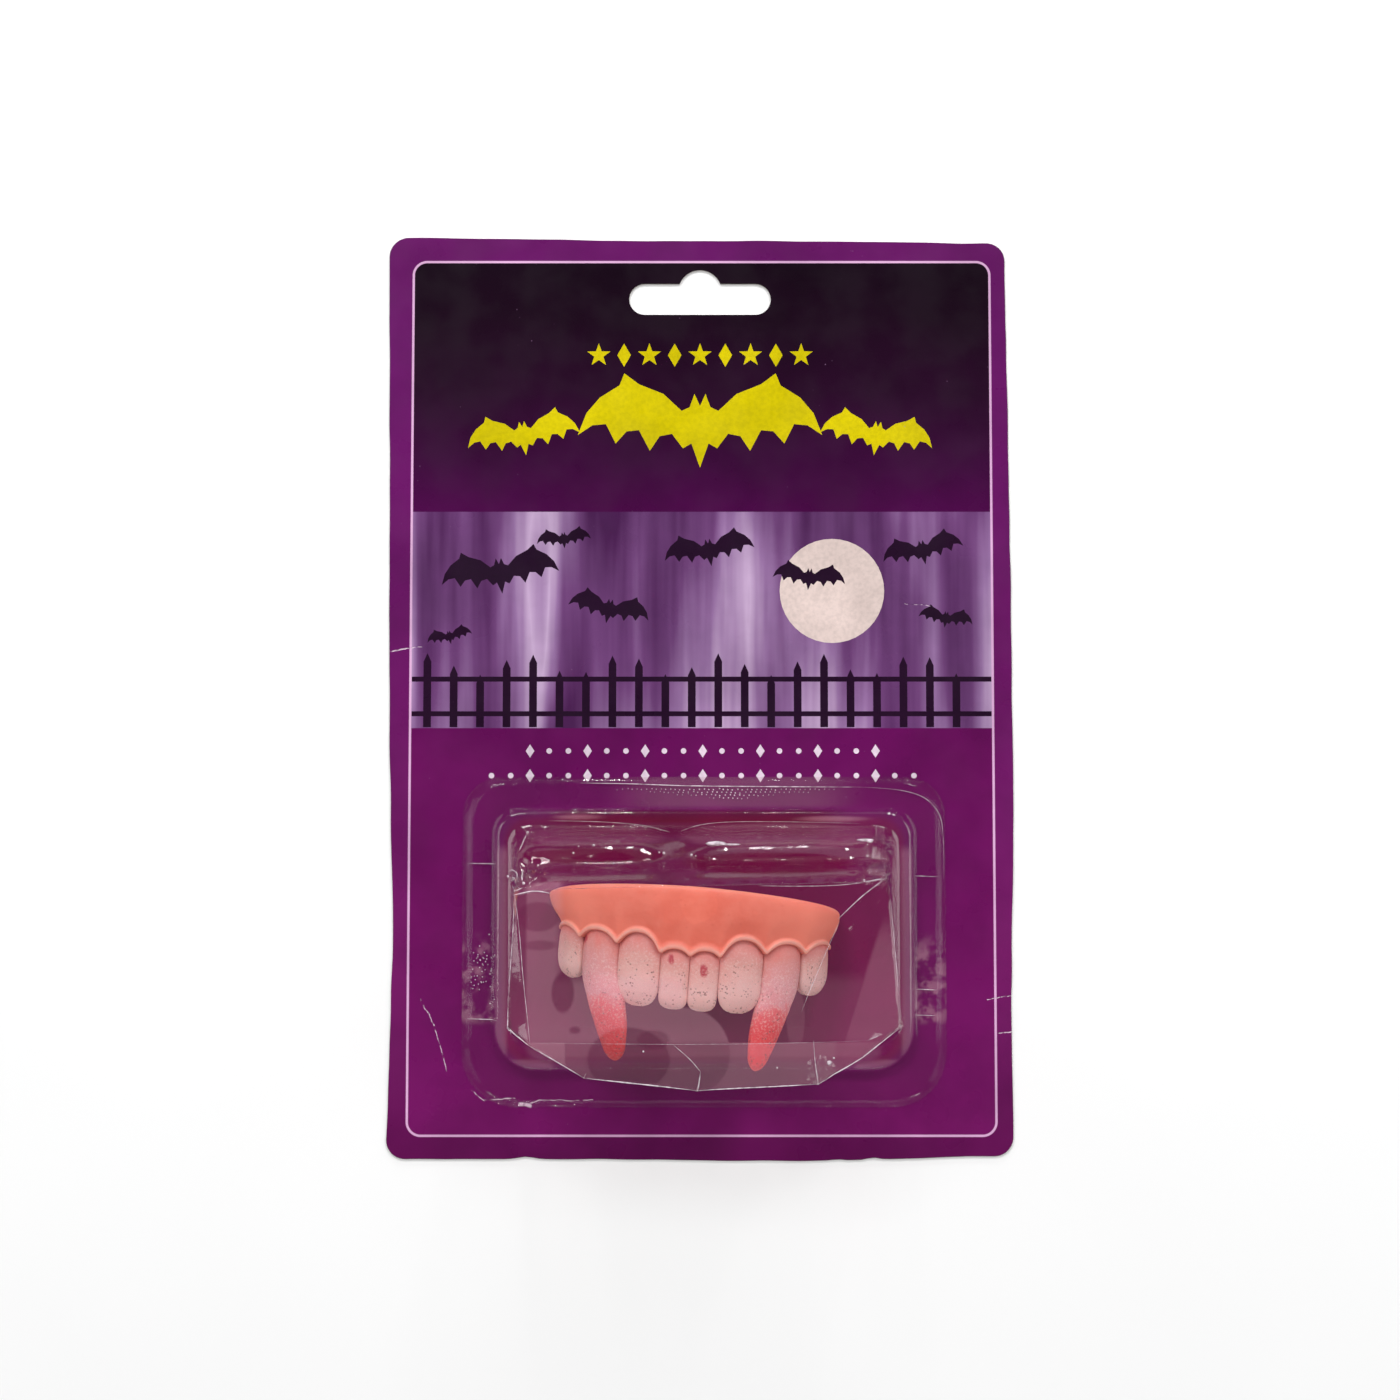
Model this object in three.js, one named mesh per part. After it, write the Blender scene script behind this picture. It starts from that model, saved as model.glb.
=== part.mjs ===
// A joke vampire denture of soft vinyl in its retail blister: a printed hang card, a clear formed
// blister sealed to it, and inside it the denture, a gum base with a bite channel and eight teeth.
// Millimetres. The card lies on its back: +X is its right side, +Y its hanging end, +Z its front.
// The origin is the middle of the card's back.
import * as THREE from "three";

// Card
const cardWidth = 135;
const cardHeight = 200;
const cardThick = 0.6;
const cardCorner = 4.2;

// Hanging slot: a round-ended slot with a dome in the middle of its upper edge
const slotWidth = 31.4;
const slotHeight = 6.9;
const slotEdge = 7.6; // from the card's top edge to the slot's straight upper edge
const domeWidth = 9;
const domeRise = 3.1;

// Denture: the arch is an ellipse seen from above, along the face that the teeth are set against
const archHalfWidth = 27.5;
const archDepth = 22;
const archSkew = 0.8; // how far the arch's two ends sit to the right of its front
const gumHeight = 12.8; // from the level where gum meets teeth up to the flange's top
const flangeDrop = 4.4; // how much lower the flange is at its two ends
const gumProud = 3.4; // gum face in front of the teeth's bed
const beadProud = 0.5; // rolled rim along the gum line, in front of the gum just above it
const rimTaper = 0.55; // how far the rim falls back at the two ends, a share of its own proudness
const gumWall = 2.6; // flange above the teeth
const bedWall = 1.6; // wall behind the teeth
const channelWidth = 7; // room for the wearer's own teeth
const lingualWall = 1.6;
const lingualTop = 4;
const trayBottom = 8.5; // from the gum level down to the tray's underside
const trayFloor = 1.8;
const trayRise = 1.8; // how much higher the tray's underside is at the arch's ends
const toothLength = 12.5;
const premolarLength = 8.9;
const fangLength = 24.2;
const crownProud = 2.9; // the teeth's fullest point in front of their bed
const toothGap = 0.3;
const dentureTurn = -4.4; // degrees, as the denture has slipped round in its blister

// Blister
const blisterWall = 0.4;
const sealGap = 0.1; // seal coat between flange and card
const seatGap = 0.3; // between the arch's ends and the card
const frontRoom = 0.8; // between the gum's front and the film
const sideRoom = 11.2;
const topRoom = 1.9;
const fangRoom = 3.7;
const ledgeWidth = 3.4;
const ledgeHeight = 2.4;
const topSlope = 12; // how far the upper wall leans back from the front face to its foot
const flangeWidth = 6.2;
const flangeTail = 8; // the flange below the bubble
const cardTail = 11.7; // bare card below the flange
const flangeCorner = 9;
const blisterOffset = 0.9; // the bubble sits a little to the right of the card's middle

// Colours
const printPurple = 0x5e1660;
const clearPlastic = 0xe4dce8;
const gumCoral = 0xe0705a;
const toothPink = 0xe2b4ac;
const fangRose = 0xd98a84;

const material = (color, roughness, extra = {}) =>
  new THREE.MeshStandardMaterial({ color, roughness, metalness: 0, ...extra });
const cardBoard = material(printPurple, 0.55);
const blisterPlastic = material(clearPlastic, 0.08, { transparent: true, opacity: 0.25 });
const gumVinyl = material(gumCoral, 0.5);
const toothVinyl = material(toothPink, 0.45);
const fangVinyl = material(fangRose, 0.45);

const lerp = THREE.MathUtils.lerp;

// One closed body through rings of equally many points, with a flat cap on the first and last ring.
// flat(point) gives a ring point's place in the plane that its cap is cut in.
function loft(name, finish, rings, flat) {
  const count = rings[0].length;
  const positions = rings.flat().flatMap((p) => [p.x, p.y, p.z]);
  const triangles = [];
  for (let k = 0; k + 1 < rings.length; k++) {
    for (let i = 0; i < count; i++) {
      const a = k * count + i;
      const b = k * count + ((i + 1) % count);
      triangles.push(a, b, a + count, b, b + count, a + count);
    }
  }
  const capOf = (k, turned) => {
    const outline = rings[k].map(flat);
    const forward = THREE.ShapeUtils.isClockWise(outline) ? -1 : 1;
    for (const [a, b, c] of THREE.ShapeUtils.triangulateShape(outline, [])) {
      const face = (forward > 0) === turned ? [a, c, b] : [a, b, c];
      triangles.push(...face.map((i) => k * count + i));
    }
  };
  const facing = THREE.ShapeUtils.isClockWise(rings[0].map(flat));
  capOf(0, !facing);
  capOf(rings.length - 1, facing);
  return solid(name, finish, positions, triangles);
}

// A named mesh, with its faces turned outwards if they point in.
function solid(name, finish, positions, triangles) {
  const at = (i) => new THREE.Vector3().fromArray(positions, 3 * i);
  let volume = 0;
  for (let t = 0; t < triangles.length; t += 3) {
    const [a, b, c] = triangles.slice(t, t + 3).map(at);
    volume += a.dot(b.cross(c));
  }
  if (volume < 0) triangles.reverse();
  const geometry = new THREE.BufferGeometry();
  geometry.setAttribute("position", new THREE.Float32BufferAttribute(positions, 3));
  geometry.setIndex(triangles);
  geometry.computeVertexNormals();
  const mesh = new THREE.Mesh(geometry, finish);
  mesh.name = name;
  return mesh;
}

// A value between the rows of a table, whose first column is where each row applies.
function between(table, column, at, key) {
  let k = 1;
  while (k < table.length - 1 && table[k][key] < at) k++;
  const [low, high] = [table[k - 1], table[k]];
  const share = THREE.MathUtils.clamp((at - low[key]) / (high[key] - low[key]), 0, 1);
  return lerp(low[column], high[column], share);
}

// Card

function slotPath() {
  const top = cardHeight / 2 - slotEdge;
  const end = slotHeight / 2;
  const middle = top - end;
  const reach = slotWidth / 2 - end;
  const domeRadius = (domeRise ** 2 + (domeWidth / 2) ** 2) / (2 * domeRise);
  const domeCentre = top + domeRise - domeRadius;
  const domeStart = Math.atan2(top - domeCentre, domeWidth / 2);
  const path = new THREE.Path();
  path.moveTo(-reach, middle - end);
  path.lineTo(reach, middle - end);
  path.absarc(reach, middle, end, -Math.PI / 2, Math.PI / 2, false);
  path.absarc(0, domeCentre, domeRadius, domeStart, Math.PI - domeStart, false);
  path.absarc(-reach, middle, end, Math.PI / 2, (3 * Math.PI) / 2, false);
  return path;
}

function card() {
  const [w, h, r] = [cardWidth / 2, cardHeight / 2, cardCorner];
  const quarter = Math.PI / 2;
  const shape = new THREE.Shape();
  shape.absarc(w - r, h - r, r, 0, quarter, false);
  shape.absarc(r - w, h - r, r, quarter, 2 * quarter, false);
  shape.absarc(r - w, r - h, r, 2 * quarter, 3 * quarter, false);
  shape.absarc(w - r, r - h, r, 3 * quarter, 4 * quarter, false);
  shape.holes.push(slotPath());
  const settings = { depth: cardThick, bevelEnabled: false, curveSegments: 9 };
  const geometry = new THREE.ExtrudeGeometry(shape, settings);
  const mesh = new THREE.Mesh(geometry, cardBoard);
  mesh.name = "backing_card";
  return mesh;
}

// Arch

const archSteps = 180;
const archTable = [{ length: 0, angle: 0 }];
for (let k = 1; k <= archSteps; k++) {
  const angle = (k / archSteps) * (Math.PI / 2);
  const middle = ((k - 0.5) / archSteps) * (Math.PI / 2);
  const rate = Math.hypot(archHalfWidth * Math.cos(middle), archDepth * Math.sin(middle));
  const length = archTable[k - 1].length + (rate * (Math.PI / 2)) / archSteps;
  archTable.push({ length, angle });
}
const archHalf = archTable[archSteps].length;

// The point a distance s along the arch from its middle, and proud in front of the teeth's bed.
function archPoint(s, height, proud) {
  const angle = Math.sign(s) * between(archTable, "angle", Math.abs(s), "length");
  const normal = new THREE.Vector2(
    Math.sin(angle) / archHalfWidth,
    Math.cos(angle) / archDepth,
  ).normalize();
  const x = archHalfWidth * Math.sin(angle) + proud * normal.x;
  const z = Math.max(0, archDepth * Math.cos(angle) + proud * normal.y);
  return new THREE.Vector3(x + archSkew * (1 - z / archDepth), height, z);
}

// Teeth, from the middle outwards. width is a share of half the arch; peak and cusp, the gum line's
// height over the tooth and beside its far side, are shares of the gum's height; the lower end is
// rounded from knee, a share of the way down, by a curve that is squarer the larger square is.
const teeth = [
  { name: "tooth_central", width: 0.148, peak: -0.01, cusp: -0.12, knee: 0.76, square: 2.8 },
  { name: "tooth_lateral", width: 0.228, peak: 0.2, cusp: -0.03, knee: 0.5, square: 2.7 },
  { name: "fang", width: 0.238, peak: 0.165, cusp: -0.01, knee: 0.9, square: 2.2 },
  { name: "tooth_premolar", width: 0.272, peak: 0.15, cusp: 0.04, knee: 0.5, square: 2.6 },
];
const lengths = [toothLength, toothLength, fangLength, premolarLength];
const middleCusp = -0.13; // the gum line's height between the two centrals, a share of the gum's height
let reached = 0;
let lastCusp = middleCusp;
for (const tooth of teeth) {
  tooth.start = reached * archHalf;
  reached += tooth.width;
  tooth.end = reached * archHalf;
  tooth.nearCusp = lastCusp;
  lastCusp = tooth.cusp;
  tooth.tip = -lengths[teeth.indexOf(tooth)];
}
const teethEnd = reached * archHalf;

// How a crown changes from the gum line, at 0, to its tip, at 1. half is half its width and lean its
// shift towards the middle, as shares of its width; middle, front and back are its section's mid
// plane in front of the bed and its depths before and behind that, as shares of the crown's proudness.
const incisorForm = [
  { down: 0, half: 0.5, lean: 0, middle: 0.4, front: 0.3, back: 0.3 },
  { down: 0.15, half: 0.5, lean: 0, middle: 0.42, front: 0.44, back: 0.3 },
  { down: 0.45, half: 0.5, lean: 0, middle: 0.42, front: 0.54, back: 0.3 },
  { down: 0.7, half: 0.5, lean: 0, middle: 0.4, front: 0.52, back: 0.3 },
  { down: 0.84, half: 0.5, lean: 0, middle: 0.36, front: 0.48, back: 0.35 },
  { down: 0.94, half: 0.5, lean: 0, middle: 0.32, front: 0.38, back: 0.32 },
  { down: 1, half: 0.5, lean: 0, middle: 0.26, front: 0.2, back: 0.2 },
];
const fangForm = [
  { down: 0, half: 0.5, lean: 0, middle: 0.36, front: 0.36, back: 0.3 },
  { down: 0.08, half: 0.5, lean: 0, middle: 0.38, front: 0.56, back: 0.3 },
  { down: 0.22, half: 0.49, lean: 0.01, middle: 0.42, front: 0.66, back: 0.3 },
  { down: 0.35, half: 0.47, lean: 0.03, middle: 0.48, front: 0.74, back: 0.3 },
  { down: 0.46, half: 0.46, lean: 0.07, middle: 0.52, front: 0.78, back: 0.76 },
  { down: 0.58, half: 0.455, lean: 0.22, middle: 0.5, front: 0.78, back: 0.8 },
  { down: 0.7, half: 0.405, lean: 0.3, middle: 0.42, front: 0.74, back: 0.74 },
  { down: 0.81, half: 0.34, lean: 0.37, middle: 0.36, front: 0.64, back: 0.62 },
  { down: 0.91, half: 0.265, lean: 0.43, middle: 0.3, front: 0.5, back: 0.48 },
  { down: 0.97, half: 0.215, lean: 0.46, middle: 0.26, front: 0.38, back: 0.36 },
  { down: 1, half: 0.19, lean: 0.47, middle: 0.24, front: 0.3, back: 0.3 },
];

// The gum line's height at a distance s along the arch: one scallop over each tooth.
function gumLine(s) {
  const away = Math.abs(s);
  const tooth = teeth.find((t) => away <= t.end) ?? teeth[teeth.length - 1];
  const across = THREE.MathUtils.clamp((away - tooth.start) / (tooth.end - tooth.start), 0, 1);
  const cusps = lerp(tooth.nearCusp, tooth.cusp, across);
  const rounded = 1 - Math.abs(2 * across - 1) ** 2.4;
  return gumHeight * lerp(cusps, tooth.peak, rounded);
}

// The height of the tray's underside at s.
function trayUnder(s) {
  return trayRise * (s / archHalf) ** 2 - trayBottom;
}

// side is -1 for the left half of the mouth as seen from the front, and 1 for the right.
function crown(tooth, side) {
  const form = tooth.name === "fang" ? fangForm : incisorForm;
  const width = tooth.end - tooth.start;
  const centre = (tooth.start + tooth.end) / 2;
  const columns = 10;
  const rows = form.length - 1;
  // What is left of the tooth's width, from 1, as its lower end closes
  const closing = (down) => {
    const past = Math.max(0, down - tooth.knee) / (1 - tooth.knee);
    return Math.max(0.06, 1 - past ** tooth.square) ** (1 / tooth.square);
  };
  const place = (i, k, front) => {
    const u = (2 * i) / columns - 1; // -1 on the tooth's side towards the middle
    const row = form[k];
    const rim = Math.sqrt(Math.max(0, 1 - Math.abs(u) ** 2.6));
    const half = row.half * width * closing(row.down) - toothGap / 2;
    const s = centre - row.lean * width + u * half;
    const top = gumLine(side * (centre + u * (width / 2))) - toothGap;
    const height = lerp(top, tooth.tip, row.down);
    const reach = front ? row.front * rim : -row.back * rim;
    const proud = crownProud * (row.middle + reach);
    const seated = height > trayUnder(s) - 4 * toothGap; // with the tray behind it
    const flat = seated && !front;
    return archPoint(side * s, height, flat ? toothGap : proud);
  };
  const edge = (i, k) => i === 0 || i === columns || k === 0 || k === rows;
  const positions = [];
  const triangles = [];
  const number = { front: [], back: [] };
  for (const face of ["front", "back"]) {
    for (let k = 0; k <= rows; k++) {
      number[face].push([]);
      for (let i = 0; i <= columns; i++) {
        number[face][k].push(positions.length / 3);
        positions.push(...place(i, k, face === "front").toArray());
      }
    }
  }
  const { front, back } = number;
  for (let k = 0; k < rows; k++) {
    for (let i = 0; i < columns; i++) {
      const quad = (n) => [n[k][i], n[k][i + 1], n[k + 1][i + 1], n[k + 1][i]];
      const [a, b, c, d] = quad(front);
      const [e, f, g, h] = quad(back);
      triangles.push(a, d, c, a, c, b, e, f, g, e, g, h);
    }
  }
  // The rim between the two faces, all the way round
  const rim = [];
  for (let i = 0; i <= columns; i++) rim.push([i, 0]);
  for (let k = 1; k <= rows; k++) rim.push([columns, k]);
  for (let i = columns - 1; i >= 0; i--) rim.push([i, rows]);
  for (let k = rows - 1; k > 0; k--) rim.push([0, k]);
  rim.filter(([i, k]) => edge(i, k)).forEach(([i, k], n) => {
    const [j, m] = rim[(n + 1) % rim.length];
    triangles.push(front[k][i], front[m][j], back[m][j], front[k][i], back[m][j], back[k][i]);
  });
  const finish = tooth.name === "fang" ? fangVinyl : toothVinyl;
  return solid(`${tooth.name}_${side < 0 ? "left" : "right"}`, finish, positions, triangles);
}

// Gum base: labial flange with its scalloped rim, tray and lingual wall, open along the top.

// The cut through the gum base at s, as points [in front of the bed, height].
function gumCut(s) {
  const share = Math.abs(s) / archHalf;
  const angleShare = between(archTable, "angle", Math.abs(s), "length") / (Math.PI / 2);
  const top = gumHeight - flangeDrop * angleShare ** 1.7;
  const line = gumLine(s);
  const under = trayUnder(s);
  const floor = under + trayFloor;
  const inner = -bedWall - channelWidth;
  const rear = inner - lingualWall;
  const rearTop = lingualTop * (1 - 0.4 * share);
  const low = gumProud * 0.8 * (1 - rimTaper * share ** 5);
  const bead = low + beadProud;
  const soft = 0.3 * bedWall; // rounding of the thin edges
  const body = lerp(line, top, 0.5);
  const back = gumProud - gumWall;
  return [
    [back, top - soft],
    [back + soft, top],
    [gumProud * 0.78, top],
    [gumProud, top - 0.09 * gumHeight],
    [gumProud + 0.35 * (low - 0.8 * gumProud), body],
    [low * 1.04, lerp(line, body, 0.42)],
    [low, lerp(line, body, 0.26)],
    [bead, line + 1.5 * beadProud],
    [bead * 0.96, line + 0.3 * beadProud],
    [bead - 1.6 * beadProud, line],
    [0, line],
    [0, lerp(line, under, 0.5)],
    [0, under + soft],
    [-soft, under],
    [rear + soft, under],
    [rear, under + soft],
    [rear, rearTop - soft],
    [rear + soft, rearTop],
    [inner - soft, rearTop],
    [inner, rearTop - soft],
    [inner, floor],
    [-bedWall, floor],
    [-bedWall, 0.22 * gumHeight],
    [back, 0.4 * gumHeight],
  ];
}

function gumBase() {
  const perTooth = 8;
  const stations = [];
  for (const tooth of teeth) {
    for (let i = 0; i < perTooth; i++) stations.push(lerp(tooth.start, tooth.end, i / perTooth));
  }
  for (const share of [0, 0.35, 0.7, 1]) stations.push(lerp(teethEnd, archHalf, share));
  const mirrored = stations.slice(1).map((s) => -s);
  const all = [...mirrored.reverse(), ...stations];
  const rings = all.map((s) => gumCut(s).map(([proud, height]) => archPoint(s, height, proud)));
  return loft("gum_base", gumVinyl, rings, (p) => new THREE.Vector2(p.x, p.y));
}

// Blister, from the places of the denture that it holds

const blisterBottom = -cardHeight / 2 + cardTail + flangeTail; // the bubble's foot
const dentureY = blisterBottom + fangRoom + fangLength;
const dentureX = blisterOffset - 2.7;
const dentureZ = cardThick + seatGap;
const bubbleHeight = dentureZ + archDepth + gumProud + frontRoom + blisterWall;
const bubbleHalf = archHalfWidth + gumProud + sideRoom;
const bubbleTop = dentureY + gumHeight + topRoom; // the front face's upper edge

// Rings of the formed film, from the flange's rim to the front face. up is a share of the bubble's
// height above the flange; side, top and bottom are how far the ring lies inside the main wall's
// foot, as shares of the bubble's half width, of the upper wall's lean and of the room at the fangs;
// topRound and bottomRound are corner radii as shares of the bubble's half width; keel is how much
// lower the middle of the lower edge is, and pinch how deep the upper wall is creased in its middle,
// as shares of the bubble's height.
const filmRings = [
  { up: 0.1, side: 0, top: 0.05, bottom: 0.02, topRound: 0.14, bottomRound: 0.18, keel: 0, pinch: 0 },
  { up: 0.3, side: 0.004, top: 0.14, bottom: -0.04, topRound: 0.12, bottomRound: 0.22, keel: 0.02, pinch: 0.03 },
  { up: 0.47, side: 0.008, top: 0.24, bottom: -0.08, topRound: 0.1, bottomRound: 0.22, keel: 0.04, pinch: 0.07 },
  { up: 0.53, side: 0.01, top: 0.42, bottom: -0.1, topRound: 0.1, bottomRound: 0.24, keel: 0.06, pinch: 0.08 },
  { up: 0.68, side: 0.014, top: 0.66, bottom: -0.12, topRound: 0.09, bottomRound: 0.25, keel: 0.08, pinch: 0.06 },
  { up: 0.82, side: 0.02, top: 0.8, bottom: -0.12, topRound: 0.08, bottomRound: 0.27, keel: 0.09, pinch: 0.03 },
  { up: 0.96, side: 0.07, top: 0.95, bottom: 0.9, topRound: 0.06, bottomRound: 0.22, keel: 0.06, pinch: 0 },
  { up: 1, side: 0.12, top: 1.02, bottom: 2.5, topRound: 0.05, bottomRound: 0.05, keel: 0, pinch: 0 },
];

const sideSteps = 9;
const cornerSteps = 5;

// A closed outline with round corners: the lower edge from left to right, then anticlockwise.
function outline({ left, right, top, bottom, topRadius, bottomRadius, keel, pinch, height }) {
  const points = [];
  const middle = (left + right) / 2;
  const sweep = (x, y, radius, from) => {
    for (let i = 0; i <= cornerSteps; i++) {
      const angle = from + (i / cornerSteps) * (Math.PI / 2);
      points.push([x + radius * Math.cos(angle), y + radius * Math.sin(angle)]);
    }
  };
  const edge = (x0, y0, x1, y1, steps) => {
    for (let i = 1; i < steps; i++) points.push([lerp(x0, x1, i / steps), lerp(y0, y1, i / steps)]);
  };
  const [b, t] = [bottomRadius, topRadius];
  edge(left + b, bottom, right - b, bottom, 2 * sideSteps);
  sweep(right - b, bottom + b, b, -Math.PI / 2);
  edge(right, bottom + b, right, top - t, sideSteps);
  sweep(right - t, top - t, t, 0);
  edge(right - t, top, left + t, top, 2 * sideSteps);
  sweep(left + t, top - t, t, Math.PI / 2);
  edge(left, top - t, left, bottom + b, sideSteps);
  sweep(left + b, bottom + b, b, Math.PI);
  const half = (right - left) / 2;
  return points.map(([x, y]) => {
    const offCentre = Math.abs(x - middle) / half;
    const lower = y < (top + bottom) / 2;
    const drop = lower ? keel * Math.max(0, 1 - offCentre / 0.8) : 0;
    const crease = lower ? 0 : pinch * Math.exp(-((offCentre / 0.12) ** 2));
    return new THREE.Vector3(x, y - drop - crease, height);
  });
}

function blister() {
  const base = cardThick + sealGap;
  const rise = bubbleHeight - base;
  const footHalf = bubbleHalf + ledgeWidth;
  const mainBottom = blisterBottom + 0.5 * ledgeWidth;
  const mainTop = bubbleTop + topSlope;
  const footTop = mainTop + 0.5 * ledgeWidth;
  const box = (grow, height, extra = {}) => ({
    left: blisterOffset - footHalf - grow,
    right: blisterOffset + footHalf + grow,
    top: footTop + grow,
    bottom: blisterBottom - grow,
    topRadius: flangeCorner,
    bottomRadius: flangeCorner,
    keel: 0,
    pinch: 0,
    height,
    ...extra,
  });
  const flange = (height) => outline(box(flangeWidth, height, { bottom: blisterBottom - flangeTail }));
  // thick is 0 on the film's outer face and its wall on the inner one
  const formed = (thick) => {
    const rings = [
      box(-thick, base + (thick ? 0 : blisterWall)),
      box(-thick - 0.1 * ledgeWidth, base + ledgeHeight - thick),
    ];
    for (const row of filmRings) {
      const inset = thick + row.side * bubbleHalf;
      rings.push({
        left: blisterOffset - bubbleHalf + inset,
        right: blisterOffset + bubbleHalf - inset,
        top: mainTop - row.top * topSlope - thick,
        bottom: mainBottom + row.bottom * fangRoom + thick,
        topRadius: row.topRound * bubbleHalf,
        bottomRadius: row.bottomRound * bubbleHalf,
        keel: row.keel * rise,
        pinch: row.pinch * rise,
        height: base + row.up * rise - thick,
      });
    }
    return rings.map(outline);
  };
  const outer = formed(0);
  const inner = formed(blisterWall);
  const rings = [...inner.reverse(), flange(base), flange(base + blisterWall), ...outer];
  return loft("blister", blisterPlastic, rings, (p) => new THREE.Vector2(p.x, p.y));
}

const denture = new THREE.Group();
denture.name = "denture";
denture.position.set(dentureX, dentureY, dentureZ);
denture.rotation.z = THREE.MathUtils.degToRad(dentureTurn);
denture.add(gumBase());
for (const tooth of teeth) {
  for (const side of [-1, 1]) denture.add(crown(tooth, side));
}

const pack = new THREE.Group();
pack.name = "vampire_denture_card";
pack.add(card(), blister(), denture);

export default pack;
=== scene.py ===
"""Looks of a soft vinyl vampire denture in its clear blister on a printed hang card.

Shapes are worked out in millimetres in the part's own frame: +X the card's right side, +Y its hanging
end, +Z out of its front. They turn to metres as each mesh is made.
"""
import functools
import math

import bmesh
import bpy
import numpy as np
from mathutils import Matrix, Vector, noise
from mathutils.bvhtree import BVHTree
from mathutils.geometry import delaunay_2d_cdt


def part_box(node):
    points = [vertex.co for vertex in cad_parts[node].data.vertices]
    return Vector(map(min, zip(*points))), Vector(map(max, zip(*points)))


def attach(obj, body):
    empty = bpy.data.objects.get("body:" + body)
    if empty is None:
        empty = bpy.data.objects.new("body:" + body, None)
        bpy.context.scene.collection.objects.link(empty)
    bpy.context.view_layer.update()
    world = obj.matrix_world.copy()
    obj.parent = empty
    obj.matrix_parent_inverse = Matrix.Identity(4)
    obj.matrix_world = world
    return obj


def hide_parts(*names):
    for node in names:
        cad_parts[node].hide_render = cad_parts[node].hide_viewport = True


MM = 0.001
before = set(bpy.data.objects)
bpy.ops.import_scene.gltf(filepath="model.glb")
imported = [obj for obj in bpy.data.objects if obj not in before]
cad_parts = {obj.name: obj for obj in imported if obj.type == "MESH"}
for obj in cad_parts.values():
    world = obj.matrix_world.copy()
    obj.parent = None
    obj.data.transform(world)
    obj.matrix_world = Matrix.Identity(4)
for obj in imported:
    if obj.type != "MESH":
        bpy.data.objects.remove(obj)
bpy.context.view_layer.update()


def table(columns, *rows):
    """Rows of values under named columns."""
    names = columns.split()
    return [dict(zip(names, row)) for row in rows]


# Camera: a little below square on to the card
CAMERA_DISTANCE = 400
CAMERA_TILT = math.radians(3)
CAMERA_LENS = 46.86
SENSOR = 36

# Card
card_low, card_high = (np.array(corner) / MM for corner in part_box("backing_card"))
CARD_WIDTH, CARD_HEIGHT, CARD_THICK = card_high - card_low
CARD_CORNER = 4.2
CARD_EDGE = 0.12
EDGE_WAVE, EDGE_WAVE_LENGTH = 0.15, 9
EDGE_STEP = 1.5
# Where the worn card's long edges lie at a height, and its short ones at a place across it
CARD_SIDES = table(
    "y left right",
    (-96, -67.9, 67.9),
    (-68, -67.2, 67.7),
    (-50, -66.9, 68.0),
    (-28, -67.6, 68.5),
    (5, -68.1, 68.4),
    (50, -68.5, 68.1),
    (92, -68.9, 67.6),
)
CARD_ENDS = table(
    "x low high",
    (-60, -99.5, 102.8),
    (-36, -99.5, 102.5),
    (-12, -99.6, 102.1),
    (14, -99.9, 102.1),
    (38, -99.6, 101.9),
    (58, -98.9, 101.6),
)
# Dents in the lower edge: where, half width and depth
EDGE_DENTS = [(-37.5, 2.2, 0.5), (37.2, 1.6, 0.45), (29.5, 0.9, 0.25)]
SLOT_WIDTH, SLOT_HEIGHT, SLOT_EDGE = 31.4, 6.9, 7.6
DOME_WIDTH, DOME_RISE = 9, 3.1

# Denture
ARCH_HALF_WIDTH, ARCH_DEPTH, ARCH_SKEW = 27.5, 22, 0.8
GUM_HEIGHT, FLANGE_DROP = 12.8, 4.4
GUM_PROUD, BEAD_PROUD = 3.4, 0.43
RIM_TAPER = 0.55
GUM_WALL, BED_WALL = 2.6, 1.6
CHANNEL_WIDTH, LINGUAL_WALL, LINGUAL_TOP = 7, 1.6, 4
TRAY_BOTTOM, TRAY_FLOOR, TRAY_RISE = 8.5, 1.8, 1.8
CROWN_PROUD = 2.9
DENTURE_TURN = math.radians(-4.4)
DENTURE_AT = np.array([-1.8, -52.4, 0.9])

# Blister
FILM = 0.3
FILM_BASE = 0.7
BUBBLE_TOP_Z = 27.5
BUBBLE_MIDDLE = 0.9
BUBBLE_HALF = 42.1
BUBBLE_FOOT_HALF = 45.5
BUBBLE_FOOT_LOW, BUBBLE_FOOT_HIGH = -80.3, -24.0
LEDGE_HEIGHT = 2.4
FLANGE_WIDTH, FLANGE_TAIL = 7.1, 8
FOOT_CORNER_LOW, FOOT_CORNER_HIGH = 9, 5.5
WALL_CORNER_LOW, WALL_CORNER_HIGH = 6.2, 4.5
WALL_INSET = 1.7


def linear(red, green, blue):
    """A colour of 0 to 255 parts as the linear value that a shader takes."""
    parts = [part / 255 for part in (red, green, blue)]
    return tuple(p / 12.92 if p <= 0.04045 else ((p + 0.055) / 1.055) ** 2.4 for p in parts) + (1.0,)


def mesh_object(name, points, faces, materials, smooth=True, attributes=None, slots=None):
    """A mesh from points in millimetres. attributes are per point, slots the material of each face."""
    mesh = bpy.data.meshes.new(name)
    mesh.from_pydata((np.asarray(points, float) * MM).tolist(), [], [list(face) for face in faces])
    for material in materials:
        mesh.materials.append(material)
    for key, values in (attributes or {}).items():
        layer = mesh.attributes.new(key, "FLOAT", "POINT")
        layer.data.foreach_set("value", np.asarray(values, np.float32))
    mesh.polygons.foreach_set("use_smooth", [smooth] * len(mesh.polygons))
    if slots is not None:
        mesh.polygons.foreach_set("material_index", slots)
    mesh.update()
    shown = bpy.data.objects.new(name, mesh)
    bpy.context.scene.collection.objects.link(shown)
    return shown


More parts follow.
